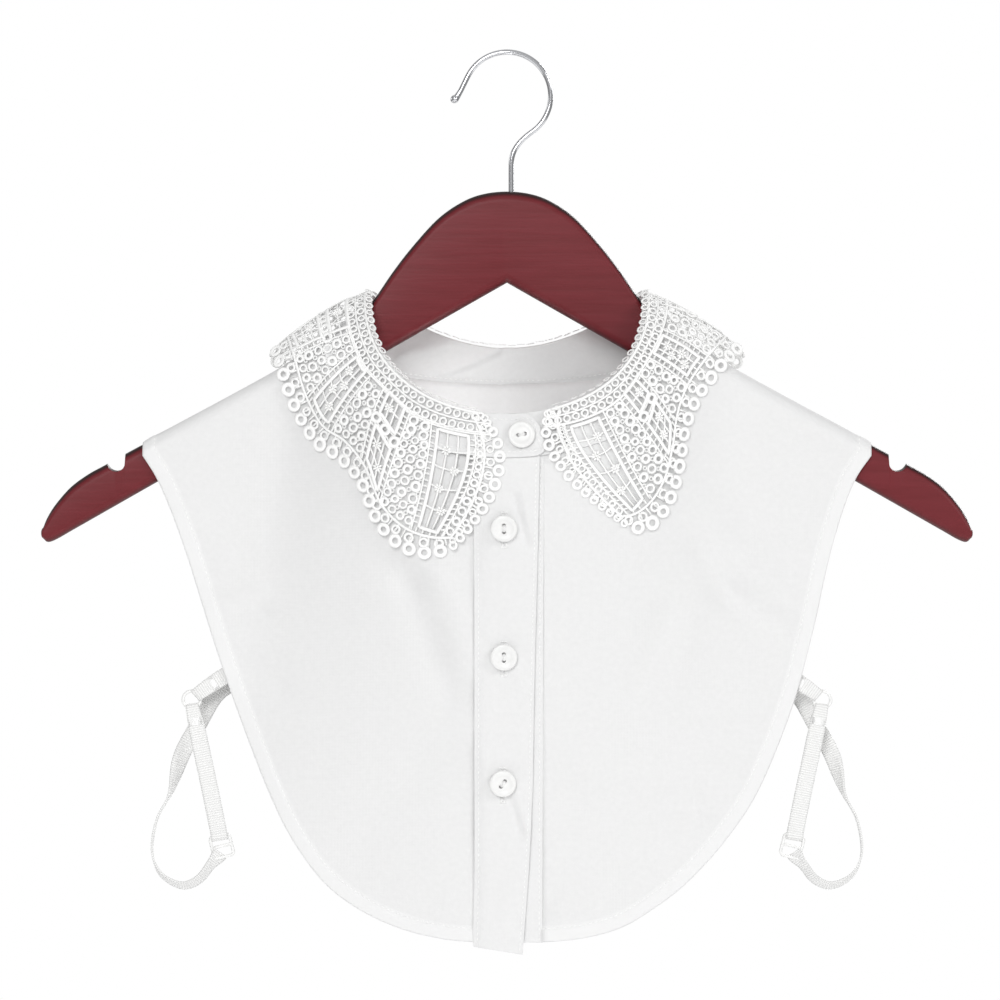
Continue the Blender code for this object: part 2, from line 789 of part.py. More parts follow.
def turned_mesh(name, profile, steps):
    """A profile spun round Z, its first and last rows on the axis."""
    bm = bmesh.new()
    verts = [bm.verts.new(mm_vector(row.radius, 0, row.out)) for row in profile]
    edges = [bm.edges.new(pair) for pair in zip(verts, verts[1:])]
    spin_round(bm, verts + edges, steps)
    return mesh_from(bm, name)


def button_cutter_mesh():
    bm = bmesh.new()
    for across in (-BUTTON_HOLE_SPREAD, BUTTON_HOLE_SPREAD):
        bmesh.ops.create_cone(
            bm,
            segments=8,
            radius1=BUTTON_HOLE_RADIUS * MM,
            radius2=BUTTON_HOLE_RADIUS * MM,
            depth=BUTTON_CUTTER * MM,
            cap_ends=True,
            matrix=Matrix.Translation(mm_vector(across, 0, 0)),
        )
    return mesh_from(bm, "button_holes")


def surface_turn(x, z, lift):
    """The matrix that stands +Z of a button out of the front cloth at this place."""
    step = 2.0
    slope_x = (front_depth(x + step, z) - front_depth(x - step, z)) / (2 * step)
    slope_z = (front_depth(x, z + step) - front_depth(x, z - step)) / (2 * step)
    normal = Vector((slope_x, -1.0, slope_z)).normalized()
    right = Vector((0, 0, 1)).cross(normal).normalized()
    up = normal.cross(right)
    place = Vector((x, front_depth(x, z), z)) + normal * lift
    frame = Matrix((right, up, normal)).transposed()
    return Matrix.Translation(place * MM) @ frame.to_4x4()


def cut(thing, cutter, name):
    cutter.hide_render = True
    cutter.display_type = "WIRE"
    modifier = thing.modifiers.new(name, "BOOLEAN")
    modifier.operation = "DIFFERENCE"
    modifier.solver = "EXACT"
    modifier.object = cutter


def stand_frame(button):
    """The matrix of the button on the collar stand, which leans back from its seam to the fold."""
    stand_reach = 0.5 * (SEAM_REACH + FOLD_REACH)
    turn = -math.degrees(math.asin(button.reach / stand_reach)) * SEAM_FLAT_TURN / 90
    low = Vector(stand_point(turn, 0.0))
    high = Vector(stand_point(turn, 1.0))
    share = (button.height - low.z) / (high.z - low.z)
    along = Vector(stand_point(turn + 1.0, share)) - Vector(stand_point(turn - 1.0, share))
    right = along.normalized() * -1
    up = (high - low).normalized()
    normal = right.cross(up).normalized()
    up = normal.cross(right)
    place = low.lerp(high, share) + normal * (STAND_WALL / 2 + BUTTON_STAND_OFF)
    frame = Matrix((right, up, normal)).transposed()
    return Matrix.Translation(place * MM) @ frame.to_4x4()


def make_buttons(material):
    mesh = turned_mesh("button", BUTTON_PROFILE, BUTTON_STEPS)
    holes = button_cutter_mesh()
    for button in BUTTONS:
        if button.name == "button_stand":
            frame = stand_frame(button)
        else:
            lift = PLACKET_STEP + PLACKET_WALL / 2 + BUTTON_STAND_OFF
            frame = surface_turn(button.reach, button.height, lift)
        frame = frame @ Matrix.Rotation(math.radians(button.turn), 4, "Z")
        thing = add_object(button.name, mesh.copy(), material)
        thing.matrix_world = frame
        cutter = add_object(button.name + "_holes", holes.copy(), None)
        cutter.matrix_world = frame
        cut(thing, cutter, "holes")


# Elastic, rings and sliders

def route_points(route, steps):
    ticks = np.linspace(0, len(route) - 1, (len(route) - 1) * steps + 1)
    return [curve_point([tuple(row) for row in route], tick) for tick in ticks]


def elastic(name, side, route, steps, material):
    """A flat elastic band along its route, its width turned out of the picture by each row's turn."""
    points = route_points(route, steps)

    def place(column, row):
        here = points[column]
        ahead = points[min(column + 1, len(points) - 1)] - points[max(column - 1, 0)]
        run = np.array([ahead[0], ahead[1], ahead[2]])
        run /= np.linalg.norm(run)
        flat = np.cross(run, [0, 1, 0])
        flat /= np.linalg.norm(flat)
        deep = np.cross(run, flat)
        turn = math.radians(here[3])
        width = flat * math.cos(turn) + deep * math.sin(turn)
        point = here[:3] + width * ELASTIC_WIDTH * (row - 0.5)
        return np.array([side * point[0], point[1], point[2]])

    return sheet(name, len(points) - 1, 1, place, ELASTIC_WALL, material)


def wire_ring(name, side, material):
    """A round ring of wire that lies flat in the picture."""
    bm = bmesh.new()
    bmesh.ops.create_circle(bm, segments=6, radius=RING_WIRE * MM)
    bmesh.ops.translate(bm, vec=mm_vector(RING_RADIUS, 0, 0), verts=bm.verts)
    turn = Matrix.Rotation(math.radians(90), 4, "X")
    bmesh.ops.transform(bm, matrix=turn, verts=bm.verts)
    spin_round(bm, bm.verts[:] + bm.edges[:], RING_STEPS)
    bmesh.ops.transform(bm, matrix=turn, verts=bm.verts)
    thing = add_object(name, mesh_from(bm, name), material)
    thing.location = mm_vector(side * RING_PLACE.reach, RING_PLACE.depth, RING_PLACE.height)
    return thing


def slider(name, side, material):
    """A three-bar adjuster: a flat frame with a middle bar between two slots."""
    bm = bmesh.new()
    bmesh.ops.create_grid(bm, x_segments=3, y_segments=5, size=0.5)
    half_width, half_height = SLIDER_WIDTH / 2, SLIDER_HEIGHT / 2
    across = [-half_width, -half_width + SLIDER_WIRE, half_width - SLIDER_WIRE, half_width]
    bar = SLIDER_WIRE / 2
    down = [-half_height, -half_height + SLIDER_WIRE, -bar, bar, half_height - SLIDER_WIRE, half_height]
    slots = []
    for face in bm.faces:
        center = face.calc_center_median()
        column, row = int((center.x + 0.5) * 3), int((center.y + 0.5) * 5)
        if column == 1 and row in (1, 3):
            slots.append(face)
    bmesh.ops.delete(bm, geom=slots, context="FACES")
    for vert in bm.verts:
        column, row = round((vert.co.x + 0.5) * 3), round((vert.co.y + 0.5) * 5)
        vert.co = mm_vector(across[column], 0, down[row])
    mesh = bpy.data.meshes.new(name)
    bm.to_mesh(mesh)
    bm.free()
    thing = add_object(name, mesh, material)
    wall = thing.modifiers.new("wall", "SOLIDIFY")
    wall.thickness = SLIDER_WIRE * MM
    wall.offset = 0.0
    thing.location = mm_vector(side * SLIDER_PLACE.reach, SLIDER_PLACE.depth, SLIDER_PLACE.height)
    thing.rotation_euler = (0, math.radians(side * SLIDER_PLACE.turn), 0)
    return thing


# Hanger and hook

def hanger_ring(row, side):
    """A rounded cross-section of the hanger at one row, as points round it."""
    top = row.top
    bottom = hanger_bottom(row.reach) + row.trim
    half = HANGER_THICK / 2
    rise = min(HANGER_CORNER, (top - bottom) * HANGER_TIP_ROUND)
    points = []
    for corner, (toward_y, toward_z) in enumerate([(1, 1), (-1, 1), (-1, -1), (1, -1)]):
        center_y = toward_y * (half - HANGER_CORNER)
        center_z = (top - rise) if toward_z > 0 else (bottom + rise)
        for step in range(HANGER_CORNER_STEPS + 1):
            angle = math.radians(90 * (corner + step / HANGER_CORNER_STEPS))
            y = center_y + HANGER_CORNER * math.cos(angle)
            z = center_z + rise * math.sin(angle)
            points.append(mm_vector(side * row.reach, y, z))
    return points


def make_hanger(material):
    bm = bmesh.new()
    rows = [(row, LEFT) for row in HANGER_ROWS[:0:-1]] + [(row, RIGHT) for row in HANGER_ROWS]
    rings = []
    for row, side in rows:
        rings.append([bm.verts.new(point) for point in hanger_ring(row, side)])
    for ring, following in zip(rings, rings[1:]):
        count = len(ring)
        for index in range(count):
            after = (index + 1) % count
            bm.faces.new([ring[index], ring[after], following[after], following[index]])
    bm.faces.new(rings[0])
    bm.faces.new(rings[-1][::-1])
    hanger = add_object("hanger", mesh_from(bm, "hanger"), material)
    for side in (LEFT, RIGHT):
        place = mm_vector(side * NOTCH_REACH, 0, NOTCH_HEIGHT)
        cutter = round_cutter("notch_cutter", NOTCH_RADIUS, 2 * HANGER_THICK, place, True)
        cut(hanger, cutter, "strap notch")
    bore_place = mm_vector(STEM_REACH, 0, hanger_top(STEM_REACH))
    bore = round_cutter("stem_cutter", STEM_BORE, 2 * STEM_DEPTH + 2, bore_place, False)
    cut(hanger, bore, "stem bore")
    return hanger


def round_cutter(name, radius, length, place, along_y):
    bm = bmesh.new()
    bmesh.ops.create_cone(
        bm,
        segments=16,
        radius1=radius * MM,
        radius2=radius * MM,
        depth=length * MM,
        cap_ends=True,
    )
    cutter = add_object(name, mesh_from(bm, name), None)
    cutter.location = place
    if along_y:
        cutter.rotation_euler = (math.radians(90), 0, 0)
    return cutter


HookRow = namedtuple("HookRow", "reach height swell")
HOOK_TIP = [
    HookRow(-25.6, -21.8, 0.7),
    HookRow(-25.1, -21.3, 1.35),
    HookRow(-24.4, -20.6, 1.5),
    HookRow(-23.6, -19.8, 1.2),
    HookRow(-22.0, -17.2, 1.0),
    HookRow(-20.5, -14.2, 1.0),
]
HOOK_NECK = [
    HookRow(9.0, -38.6, 1.0),
    HookRow(5.8, -41.8, 1.0),
    HookRow(3.4, -45.4, 1.0),
    HookRow(2.2, -49.4, 1.0),
    HookRow(STEM_REACH, -54.0, 1.0),
]


def make_hook(material):
    """Round wire: a ball tip, an arc over the rail, and a neck that runs into the stem."""
    arc = []
    for angle in range(HOOK_ARC_START, HOOK_ARC_END - 1, -HOOK_ARC_STEP):
        turn = math.radians(angle)
        reach = HOOK_RADIUS * math.cos(turn)
        arc.append(HookRow(reach, WIRE_RADIUS - HOOK_RADIUS + HOOK_RADIUS * math.sin(turn), 1.0))
    stem_end = HookRow(STEM_REACH, hanger_top(STEM_REACH) - STEM_DEPTH + STEM_END_GAP, 1.0)
    rows = HOOK_TIP + arc + HOOK_NECK + [stem_end]
    curve = bpy.data.curves.new("hook", "CURVE")
    curve.dimensions = "3D"
    curve.bevel_depth = WIRE_RADIUS * MM
    curve.bevel_resolution = 2
    curve.use_fill_caps = True
    spline = curve.splines.new("POLY")
    spline.points.add(len(rows) - 1)
    for point, row in zip(spline.points, rows):
        point.co = (*mm_vector(row.reach, 0, row.height), 1.0)
        point.radius = row.swell
    hook = bpy.data.objects.new("hook", curve)
    bpy.context.scene.collection.objects.link(hook)
    curve.materials.append(material)
    return hook


def build():
    clear_scene()
    lawn = finish("white cotton lawn", (0.86, 0.86, 0.86), 0.85)
    lace = finish("white guipure lace", (0.9, 0.9, 0.9), 0.8)
    pearl = finish("white polyester button", (0.88, 0.88, 0.88), 0.25)
    band = finish("white elastic", (0.85, 0.85, 0.85), 0.6)
    coated = finish("white coated metal", (0.88, 0.88, 0.88), 0.3)
    mahogany = finish("mahogany stained wood", (0.2, 0.055, 0.06), 0.45)
    steel = finish("chromed steel wire", (0.75, 0.75, 0.76), 0.15, 1.0)

    front_panel("front_left", LEFT, LEFT_FRONT_EDGE, lawn)
    front_panel("front_right", RIGHT, RIGHT_FRONT_EDGE, lawn)
    back_panel("back", lawn)
    placket("placket_under", UNDER_PLACKET_ROWS, 0.0, lawn)
    placket("placket_top", TOP_PLACKET_ROWS, PLACKET_STEP, lawn)
    collar_stand("collar_stand", lawn)
    lace_half("lace_left", LEFT, lace)
    lace_half("lace_right", RIGHT, lace)
    make_buttons(pearl)
    for side, word in ((LEFT, "left"), (RIGHT, "right")):
        elastic("tab_" + word, side, TAB_ROUTE, 1, band)
        elastic("strap_" + word, side, STRAP_ROUTE, 2, band)
        elastic("loop_" + word, side, LOOP_ROUTE, 3, band)
        wire_ring("ring_" + word, side, coated)
        slider("slider_" + word, side, coated)
    make_hanger(mahogany)
    make_hook(steel)


build()
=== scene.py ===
import json
import math

import bmesh
import bpy
import numpy as np
from mathutils import Matrix, Vector

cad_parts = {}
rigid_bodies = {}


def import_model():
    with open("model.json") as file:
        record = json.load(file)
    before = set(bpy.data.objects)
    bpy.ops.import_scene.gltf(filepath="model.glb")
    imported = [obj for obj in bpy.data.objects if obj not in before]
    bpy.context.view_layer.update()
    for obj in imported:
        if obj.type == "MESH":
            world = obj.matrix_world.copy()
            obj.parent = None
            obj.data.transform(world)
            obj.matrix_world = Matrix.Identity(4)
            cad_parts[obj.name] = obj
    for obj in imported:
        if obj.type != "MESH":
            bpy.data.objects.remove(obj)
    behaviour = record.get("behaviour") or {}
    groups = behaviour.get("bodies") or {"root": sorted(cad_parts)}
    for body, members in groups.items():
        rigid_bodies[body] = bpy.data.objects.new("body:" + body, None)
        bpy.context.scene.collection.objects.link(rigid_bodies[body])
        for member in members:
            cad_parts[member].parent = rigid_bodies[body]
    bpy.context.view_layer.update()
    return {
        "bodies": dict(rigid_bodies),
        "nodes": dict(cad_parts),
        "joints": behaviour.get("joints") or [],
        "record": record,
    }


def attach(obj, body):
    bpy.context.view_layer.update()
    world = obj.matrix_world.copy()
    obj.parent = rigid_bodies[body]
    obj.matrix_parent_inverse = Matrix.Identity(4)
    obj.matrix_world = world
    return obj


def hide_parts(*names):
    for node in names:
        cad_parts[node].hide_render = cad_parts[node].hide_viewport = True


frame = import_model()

# Hanger. A flat coat hanger sawn from one beech board, its edges rounded over, stained mahogany and lacquered.
# The garment hangs on its arms, each arm has a notch for a strap, and the hook goes into the top of its crown.
MM = 0.001
LEFT, RIGHT = -1, 1
HANGER_THICK = 12.0
HANGER_CORNER = 5.0
HANGER_CORNER_STEPS = 7
HANGER_TIP_ROUND = 0.4
HANGER_APEX = -107.8
HANGER_PITCH = 0.569
NOTCH_REACH = 185.3
NOTCH_HEIGHT = -192.9
NOTCH_RADIUS = 4.3
# Each row: how far out along the arm, the height of its top edge, how far its lower edge is trimmed up
HANGER_ROWS = [
    (0, -64.6, 0), (12, -66.0, 0), (22, -70.0, 0), (33, -77.8, 0), (45, -91.0, 0), (54, -102.6, 0),
    (64, -117.0, 0), (72, -125.0, 0), (80, -131.2, 0), (95, -141.4, 0), (110, -150.8, 0), (140, -167.2, 0),
    (173, -184.6, 0), (191, -194.4, 0), (199, -198.8, 0), (207, -204.7, 0), (214, -212.6, 0), (218, -218.8, 1.0),
    (220.2, -224.0, 4.0),
]


def smooth_curve(rows, steps):
    """Points of a smooth curve through the rows, so many steps from each row to the next."""
    rows = np.array(rows, float)
    rows = np.vstack([2 * rows[0] - rows[1], rows, 2 * rows[-1] - rows[-2]])
    part = (np.arange(steps) / steps)[:, None]
    places = []
    for before, start, end, after in zip(rows, rows[1:], rows[2:], rows[3:]):
        bend = 2 * before - 5 * start + 4 * end - after
        twist = -before + 3 * start - 3 * end + after
        places.append(0.5 * (2 * start + (end - before) * part + bend * part**2 + twist * part**3))
    return np.vstack(places + [rows[-2:-1]])


def formed_grid(bm, places, flat=None, mark=None):
    """A grid of cells with each corner moved to its place, in millimetres. flat is where each corner lies in the
    flat cloth, for the weave, and mark a number that its finish reads."""
    across, down = len(places) - 1, len(places[0]) - 1
    uv = bm.loops.layers.uv.get("flat") or bm.loops.layers.uv.new("flat")
    marks = bm.verts.layers.float.get("mark") or bm.verts.layers.float.new("mark")
    made = bmesh.ops.create_grid(bm, x_segments=across, y_segments=down, size=0.5)
    for vert in made["verts"]:
        column = round((vert.co.x + 0.5) * across)
        row = round((vert.co.y + 0.5) * down)
        vert.co = Vector(places[column][row]) * MM
        if mark is not None:
            vert[marks] = mark[column][row]
        if flat is not None:
            for loop in vert.link_loops:
                loop[uv].uv = Vector(flat[column][row][:2]) * MM
    return made["verts"]


def finished(name, bm, material, slot, *solids):
    """Closes a piece's mesh, gives it its finish and has it stand for its solids."""
    bmesh.ops.remove_doubles(bm, verts=bm.verts, dist=0.002 * MM)
    bmesh.ops.recalc_face_normals(bm, faces=bm.faces)
    mesh = bpy.data.meshes.new(name)
    bm.to_mesh(mesh)
    bm.free()
    mesh.shade_smooth()
    mesh.materials.append(material)
    piece = bpy.data.objects.new(name, mesh)
    bpy.context.scene.collection.objects.link(piece)
    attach(piece, "root")
    if solids:
        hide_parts(*solids)
    return piece


def linear(shade):
    """An sRGB hex colour, such as 7A3F42, as the linear colour that a shader takes."""
    parts = [int(shade[i : i + 2], 16) / 255 for i in (0, 2, 4)]
    return (*[c / 12.92 if c <= 0.04045 else ((c + 0.055) / 1.055) ** 2.4 for c in parts], 1.0)


def new_finish(name):
    """A new material, and its nodes and its main shader."""
    material = bpy.data.materials.new(name)
    material.use_nodes = True
    return material, material.node_tree, material.node_tree.nodes["Principled BSDF"]


def add_node(tree, kind, inputs=None, **settings):
    """Adds a node with its settings. Each input takes a value or the output that feeds it."""
    node = tree.nodes.new(kind)
    for key, value in settings.items():
        setattr(node, key, value)
    for key, value in (inputs or {}).items():
        if isinstance(value, bpy.types.NodeSocket):
            tree.links.new(value, node.inputs[key])
        else:
            node.inputs[key].default_value = value
    return node


def notch_floor(reach):
    away = np.abs(np.abs(reach) - NOTCH_REACH)
    return np.where(away <= NOTCH_RADIUS, NOTCH_HEIGHT - np.sqrt(np.maximum(0, NOTCH_RADIUS**2 - away**2)), 0.0)


mirrored = [(-reach, top, trim) for reach, top, trim in HANGER_ROWS[:0:-1]]
hanger_line = smooth_curve(mirrored + HANGER_ROWS, 5)


def hanger_top(reach):
    return np.interp(np.abs(reach), hanger_line[:, 0], hanger_line[:, 1])


def hanger_stations():
    """The places along the hanger at which its section is drawn, closer together round the notches."""
    edge = [NOTCH_RADIUS + 0.02, NOTCH_RADIUS, 4.0, 3.4, 2.6, 1.4, 0.0]
    round_notch = sorted({NOTCH_REACH + way * step for way in (-1, 1) for step in edge})
    clear = [x for x in hanger_line[:, 0] if abs(abs(x) - NOTCH_REACH) > NOTCH_RADIUS + 0.5]
    stations = sorted(clear + round_notch + [-x for x in round_notch])
    return np.array(stations)


def hanger_skin():
    """Corners of the hanger's skin, the edge mark of each (how far it faces up or down, which the finish turns into
    painted shade), and its rounded ends.
    """
    reach = hanger_stations()
    top = hanger_top(reach)
    trim = np.interp(np.abs(reach), hanger_line[:, 0], hanger_line[:, 2])
    bottom = HANGER_APEX - HANGER_PITCH * np.abs(reach) + trim
    rise = np.minimum(HANGER_CORNER, (top - bottom) * HANGER_TIP_ROUND)
    flat_half = HANGER_THICK / 2 - HANGER_CORNER
    y, z, edge = [], [], []
    for corner, (way_y, way_z) in enumerate([(1, 1), (-1, 1), (-1, -1), (1, -1)]):
        center_z = np.where(way_z > 0, top - rise, bottom + rise)
        for step in range(HANGER_CORNER_STEPS + 1):
            angle = math.radians(90 * (corner + step / HANGER_CORNER_STEPS))
            y.append(np.full(len(reach), way_y * flat_half + HANGER_CORNER * math.cos(angle)))
            z.append(center_z + rise * math.sin(angle))
            edge.append(np.full(len(reach), math.sin(angle)))
    y, z, edge = (np.array(rows + rows[:1]).T for rows in (y, z, edge))
    floor = notch_floor(reach)[:, None]
    z = np.where(floor < 0, np.minimum(z, floor), z)
    places = np.stack([np.repeat(reach[:, None], y.shape[1], axis=1), y, z], axis=2)
    ends = []
    for end, way in ((places[0], -1), (places[-1], 1)):
        middle = end.mean(axis=0)
        caps = []
        for share, out in ((0.85, 0.5), (0.5, 0.9), (0.0, 1.0)):
            cap = middle + (end - middle) * share
            cap[:, 0] += way * out
            caps.append(cap)
        ends.append(caps)
    places = np.concatenate([np.array(ends[0][::-1]), places, np.array(ends[1])])
    edge = np.concatenate([edge[:3], edge, edge[-3:]])
    return places, edge


# Mahogany-stained beech under satin lacquer: a dull red brown with faint darker streaks along the board. The
# rounded edges carry painted shade. They are darker where they turn away from the light, most of all on top.
stained_beech, tree, shader = new_finish("mahogany_stained_beech")
where = add_node(tree, "ShaderNodeTexCoord")
along = add_node(tree, "ShaderNodeMapping", {"Vector": where.outputs["Object"], "Scale": (30.0, 420.0, 420.0)})
grain = add_node(tree, "ShaderNodeTexNoise", {"Vector": along.outputs[0], "Scale": 1.0, "Detail": 8.0})
streak = add_node(tree, "ShaderNodeMapRange", {"Value": grain.outputs["Fac"], "From Min": 0.36, "From Max": 0.68})
board = add_node(tree, "ShaderNodeMix", {0: streak.outputs[0], 6: linear("671C22"), 7: linear("6E2128")},
                 data_type="RGBA")
# Painted shade: the rounded edges are darkened by how far they face up (to 240709) or down (to 4E161B), where they turn
# away from the light.
edge = add_node(tree, "ShaderNodeAttribute", attribute_name="mark")
above = add_node(tree, "ShaderNodeMapRange", {"Value": edge.outputs["Fac"], "From Min": 0.5, "From Max": 0.8})
below = add_node(tree, "ShaderNodeMapRange", {"Value": edge.outputs["Fac"], "From Min": -0.5, "From Max": -0.95})
under_shade_mix = add_node(tree, "ShaderNodeMix", {0: below.outputs[0], 6: board.outputs[2], 7: linear("4E161B")},
                 data_type="RGBA")
top_shade_mix = add_node(tree, "ShaderNodeMix", {0: above.outputs[0], 6: under_shade_mix.outputs[2], 7: linear("240709")},
                 data_type="RGBA")
tree.links.new(top_shade_mix.outputs[2], shader.inputs["Base Color"])
pores = add_node(tree, "ShaderNodeBump", {"Height": grain.outputs["Fac"], "Strength": 0.3, "Distance": 0.0004})
tree.links.new(pores.outputs[0], shader.inputs["Normal"])
shader.inputs["Roughness"].default_value = 0.46
shader.inputs["Specular IOR Level"].default_value = 0.28

bm = bmesh.new()
places, edge_marks = hanger_skin()
formed_grid(bm, places, mark=edge_marks)
hanger = finished("hanger_board", bm, stained_beech, "mahogany", "hanger")
hanger.data.set_sharp_from_angle(angle=math.radians(50))


# Hook. Round steel wire with a ball pressed on its tip, bent over for the rail and chromed. Its straight end is
# screwed into the crown of the hanger.
WIRE_RADIUS = 1.25
HOOK_RADIUS = 20.7
STEM_REACH = 2.0
STEM_DEPTH = 9.0
HOOK_SIDES = 16
# Each row: how far out, height, and how much thicker than the wire
HOOK_TIP = [(-26.2, -22.4, 0.1), (-26.0, -22.2, 0.8), (-25.3, -21.5, 1.4), (-24.5, -20.7, 1.55), (-23.7, -19.9, 1.2),
            (-22.0, -17.2, 1.0), (-20.5, -14.2, 1.0)]
HOOK_NECK = [(9.0, -38.6, 1.0), (5.8, -41.8, 1.0), (3.4, -45.4, 1.0), (2.2, -49.4, 1.0), (STEM_REACH, -54.0, 1.0)]


def tube(path, radius, sides, up, flat=1.0, closed=False):
    """The skin of a round or flattened rod along a path. up is the way in which it is flattened."""
    path = np.array(path, float)
    if closed:
        ahead = np.roll(path, -1, axis=0) - np.roll(path, 1, axis=0)
    else:
        ahead = np.gradient(path, axis=0)
    ahead /= np.linalg.norm(ahead, axis=1)[:, None]
    across = np.cross(ahead, np.broadcast_to(up, path.shape))
    across /= np.linalg.norm(across, axis=1)[:, None]
    over = np.cross(across, ahead)
    turn = np.linspace(0, math.tau, sides + 1)[None, :, None]
    thick = np.broadcast_to(radius, len(path))[:, None, None]
    skin = path[:, None] + thick * (across[:, None] * np.cos(turn) + over[:, None] * np.sin(turn) * flat)
    if closed:
        return np.concatenate([skin, skin[:1]])
    first, last = np.repeat(path[:1], sides + 1, axis=0), np.repeat(path[-1:], sides + 1, axis=0)
    return np.concatenate([first[None], skin, last[None]])


# Chromed steel wire: a mirror finish that picks up the white room and, along both sides, its darker walls.
chromed_steel, tree, shader = new_finish("chromed_steel_wire")
shader.inputs["Base Color"].default_value = linear("D4D5D8")
shader.inputs["Metallic"].default_value = 1.0
shader.inputs["Roughness"].default_value = 0.12
where = add_node(tree, "ShaderNodeTexCoord")
drawn = add_node(tree, "ShaderNodeTexNoise", {"Vector": where.outputs["Object"], "Scale": 900.0, "Detail": 2.0})
marks = add_node(tree, "ShaderNodeBump", {"Height": drawn.outputs["Fac"], "Strength": 0.03, "Distance": 0.0001})
tree.links.new(marks.outputs[0], shader.inputs["Normal"])

turns = np.radians(np.arange(152, -51, -10))
rail_arc = [(HOOK_RADIUS * math.cos(t), WIRE_RADIUS - HOOK_RADIUS + HOOK_RADIUS * math.sin(t), 1.0) for t in turns]
stem = [(STEM_REACH, float(hanger_top(STEM_REACH)) - STEM_DEPTH, 1.0)]
wire = smooth_curve(HOOK_TIP + rail_arc + HOOK_NECK + stem, 4)
bm = bmesh.new()
wire_path = np.stack([wire[:, 0], np.zeros(len(wire)), wire[:, 1]], axis=1)
formed_grid(bm, tube(wire_path, WIRE_RADIUS * wire[:, 2], HOOK_SIDES, (0, 1, 0)))
finished("hook_wire", bm, chromed_steel, "steel", "hook")


# Bib. Two fronts and a back cut from white cotton lawn, joined over the shoulders. Each hangs from the neck seam and
# the hanger's arm, and its armhole and lower edge are one narrow turned hem.
SHOULDER_LIFT = 1.3
SHOULDER_WRAP = 6.5
ARM_STAND_OFF = 7.6
SHOULDER_TIP = 172.5
SEAM_FLAT_TURN = 84.0
SEAM_REACH = 85.0
SEAM_FRONT_DROP = 48.0
SEAM_BACK_DROP = 17.0
FRONT_BULGE = 37.0
BACK_BULGE = 29.0
BULGE_REACH_NECK = 105.0
BULGE_REACH_HEM = 150.0
BULGE_AT_HEM = 0.3
BULGE_FADE = 1.6
CROWN_ROUND = 1.3
CROWN_SOFT = 0.02
HEM_HEIGHT = -419.6
HEM_CENTER_REACH = 60.0
BACK_INSET = 2.5
LEFT_FRONT_EDGE = 14.3
RIGHT_FRONT_EDGE = 16.3
SHOULDER_CROWDING = 6
LAWN_WALL = 0.5
FAN_COLUMNS = 84
WRAP_COLUMNS = 12
FIELD_ROWS = 62
HEM_ZONE = 12.0
HEM_ZONE_ROWS = 15
HEM_WIDTH = 7.4
HEM_STITCH = 6.6
# Each row: height, how far the outline reaches on the photo's left and on its right
HEM_ROWS = [
    (HEM_HEIGHT, LEFT_FRONT_EDGE, RIGHT_FRONT_EDGE), (-418.0, 31.0, 35.0), (-413.5, 50.0, 53.0), (-405.0, 69.0, 68.0),
    (-392.0, 86.5, 85.0), (-372.0, 101.5, 103.5), (-349.0, 113.0, 119.0), (-315.0, 126.5, 133.5),
    (-281.0, 138.5, 143.5), (-236.0, 153.0, 154.0), (-207.0, 164.0, 163.5), (-191.0, SHOULDER_TIP, SHOULDER_TIP),
]
# Each fold: from reach and height, to reach and height, its width and how far it stands out
FRONT_FOLDS = [(-60, -200, -22, -276, 12, 1.8), (-22, -276, -14, -330, 10, 1.2), (101, -222, 117, -244, 11, 2.1),
               (117, -244, 140, -262, 8, 1.8), (-134, -260, -118, -254, 5, 1.0)]
BACK_FOLDS = [(-60, -200, -40, -330, 18, 2.6), (48, -210, 66, -350, 16, 2.2), (4, -190, 0, -300, 12, 1.6)]
# Finer creases: pressed-out troughs beside the folds, pulls from the armholes and small puckers above the hem
FRONT_CREASES = [
    (-70, -204, -45, -250, 8, -1.7), (-45, -250, -27, -300, 8, -1.9), (-34, -242, -22, -262, 5, 0.6),
    (92, -234, 105, -256, 7, -2.0), (105, -256, 137, -277, 7, -1.8), (76, -266, 65, -297, 8, -1.9),
    (86, -270, 76, -302, 7, 1.3), (32, -351, 84, -354, 9, -1.8), (87, -348, 93, -362, 3, -1.1),
    (-134, -266, -116, -262, 4, -0.9), (-138, -282, -108, -296, 6, -0.7),
    (18.5, -408, 22.5, -394, 1.9, -1.3), (23.5, -407, 27.5, -396, 1.8, 0.8), (29, -406, 34, -390, 2.4, -1.2),
    (40, -404, 44, -396, 2.4, 0.7), (-30, -405, -28, -394, 2.2, 0.5), (-58, -396, -54, -386, 2.4, -0.5),
    (150, -216, 132, -232, 5, 0.8), (-152, -214, -134, -236, 5, 0.7), (40, -330, 62, -372, 15, 1.1),
    (-44, -338, -70, -378, 14, -0.9), (120, -300, 100, -330, 12, 0.8), (26, -236, 30, -300, 6, -0.7),
]
BACK_CREASES = [
    (-84, -206, -58, -300, 9, -1.4), (26, -214, 40, -330, 9, -1.2), (140, -250, 112, -266, 6, 0.9),
    (-142, -240, -116, -262, 6, -0.8), (70, -360, 84, -386, 10, 0.9), (-20, -392, -16, -408, 4, 0.7),
    (12, -394, 10, -408, 4, -0.6), (-118, -316, -96, -344, 10, 0.8),
]


def shoulder_line(reach):
    return hanger_top(reach) + SHOULDER_LIFT


SEAM_SIDE_HEIGHT = float(shoulder_line(SEAM_REACH)) - SHOULDER_WRAP


def fold_out(folds, x, z):
    """How far the soft folds push the cloth outwards at this place."""
    out = 0.0 * x
    for start_x, start_z, end_x, end_z, width, stands in folds:
        run_x, run_z = end_x - start_x, end_z - start_z
        share = np.clip(((x - start_x) * run_x + (z - start_z) * run_z) / (run_x**2 + run_z**2), 0, 1)
        away = np.hypot(x - start_x - share * run_x, z - start_z - share * run_z) / width
        out = out + stands * np.exp(-(away**2))
    return out


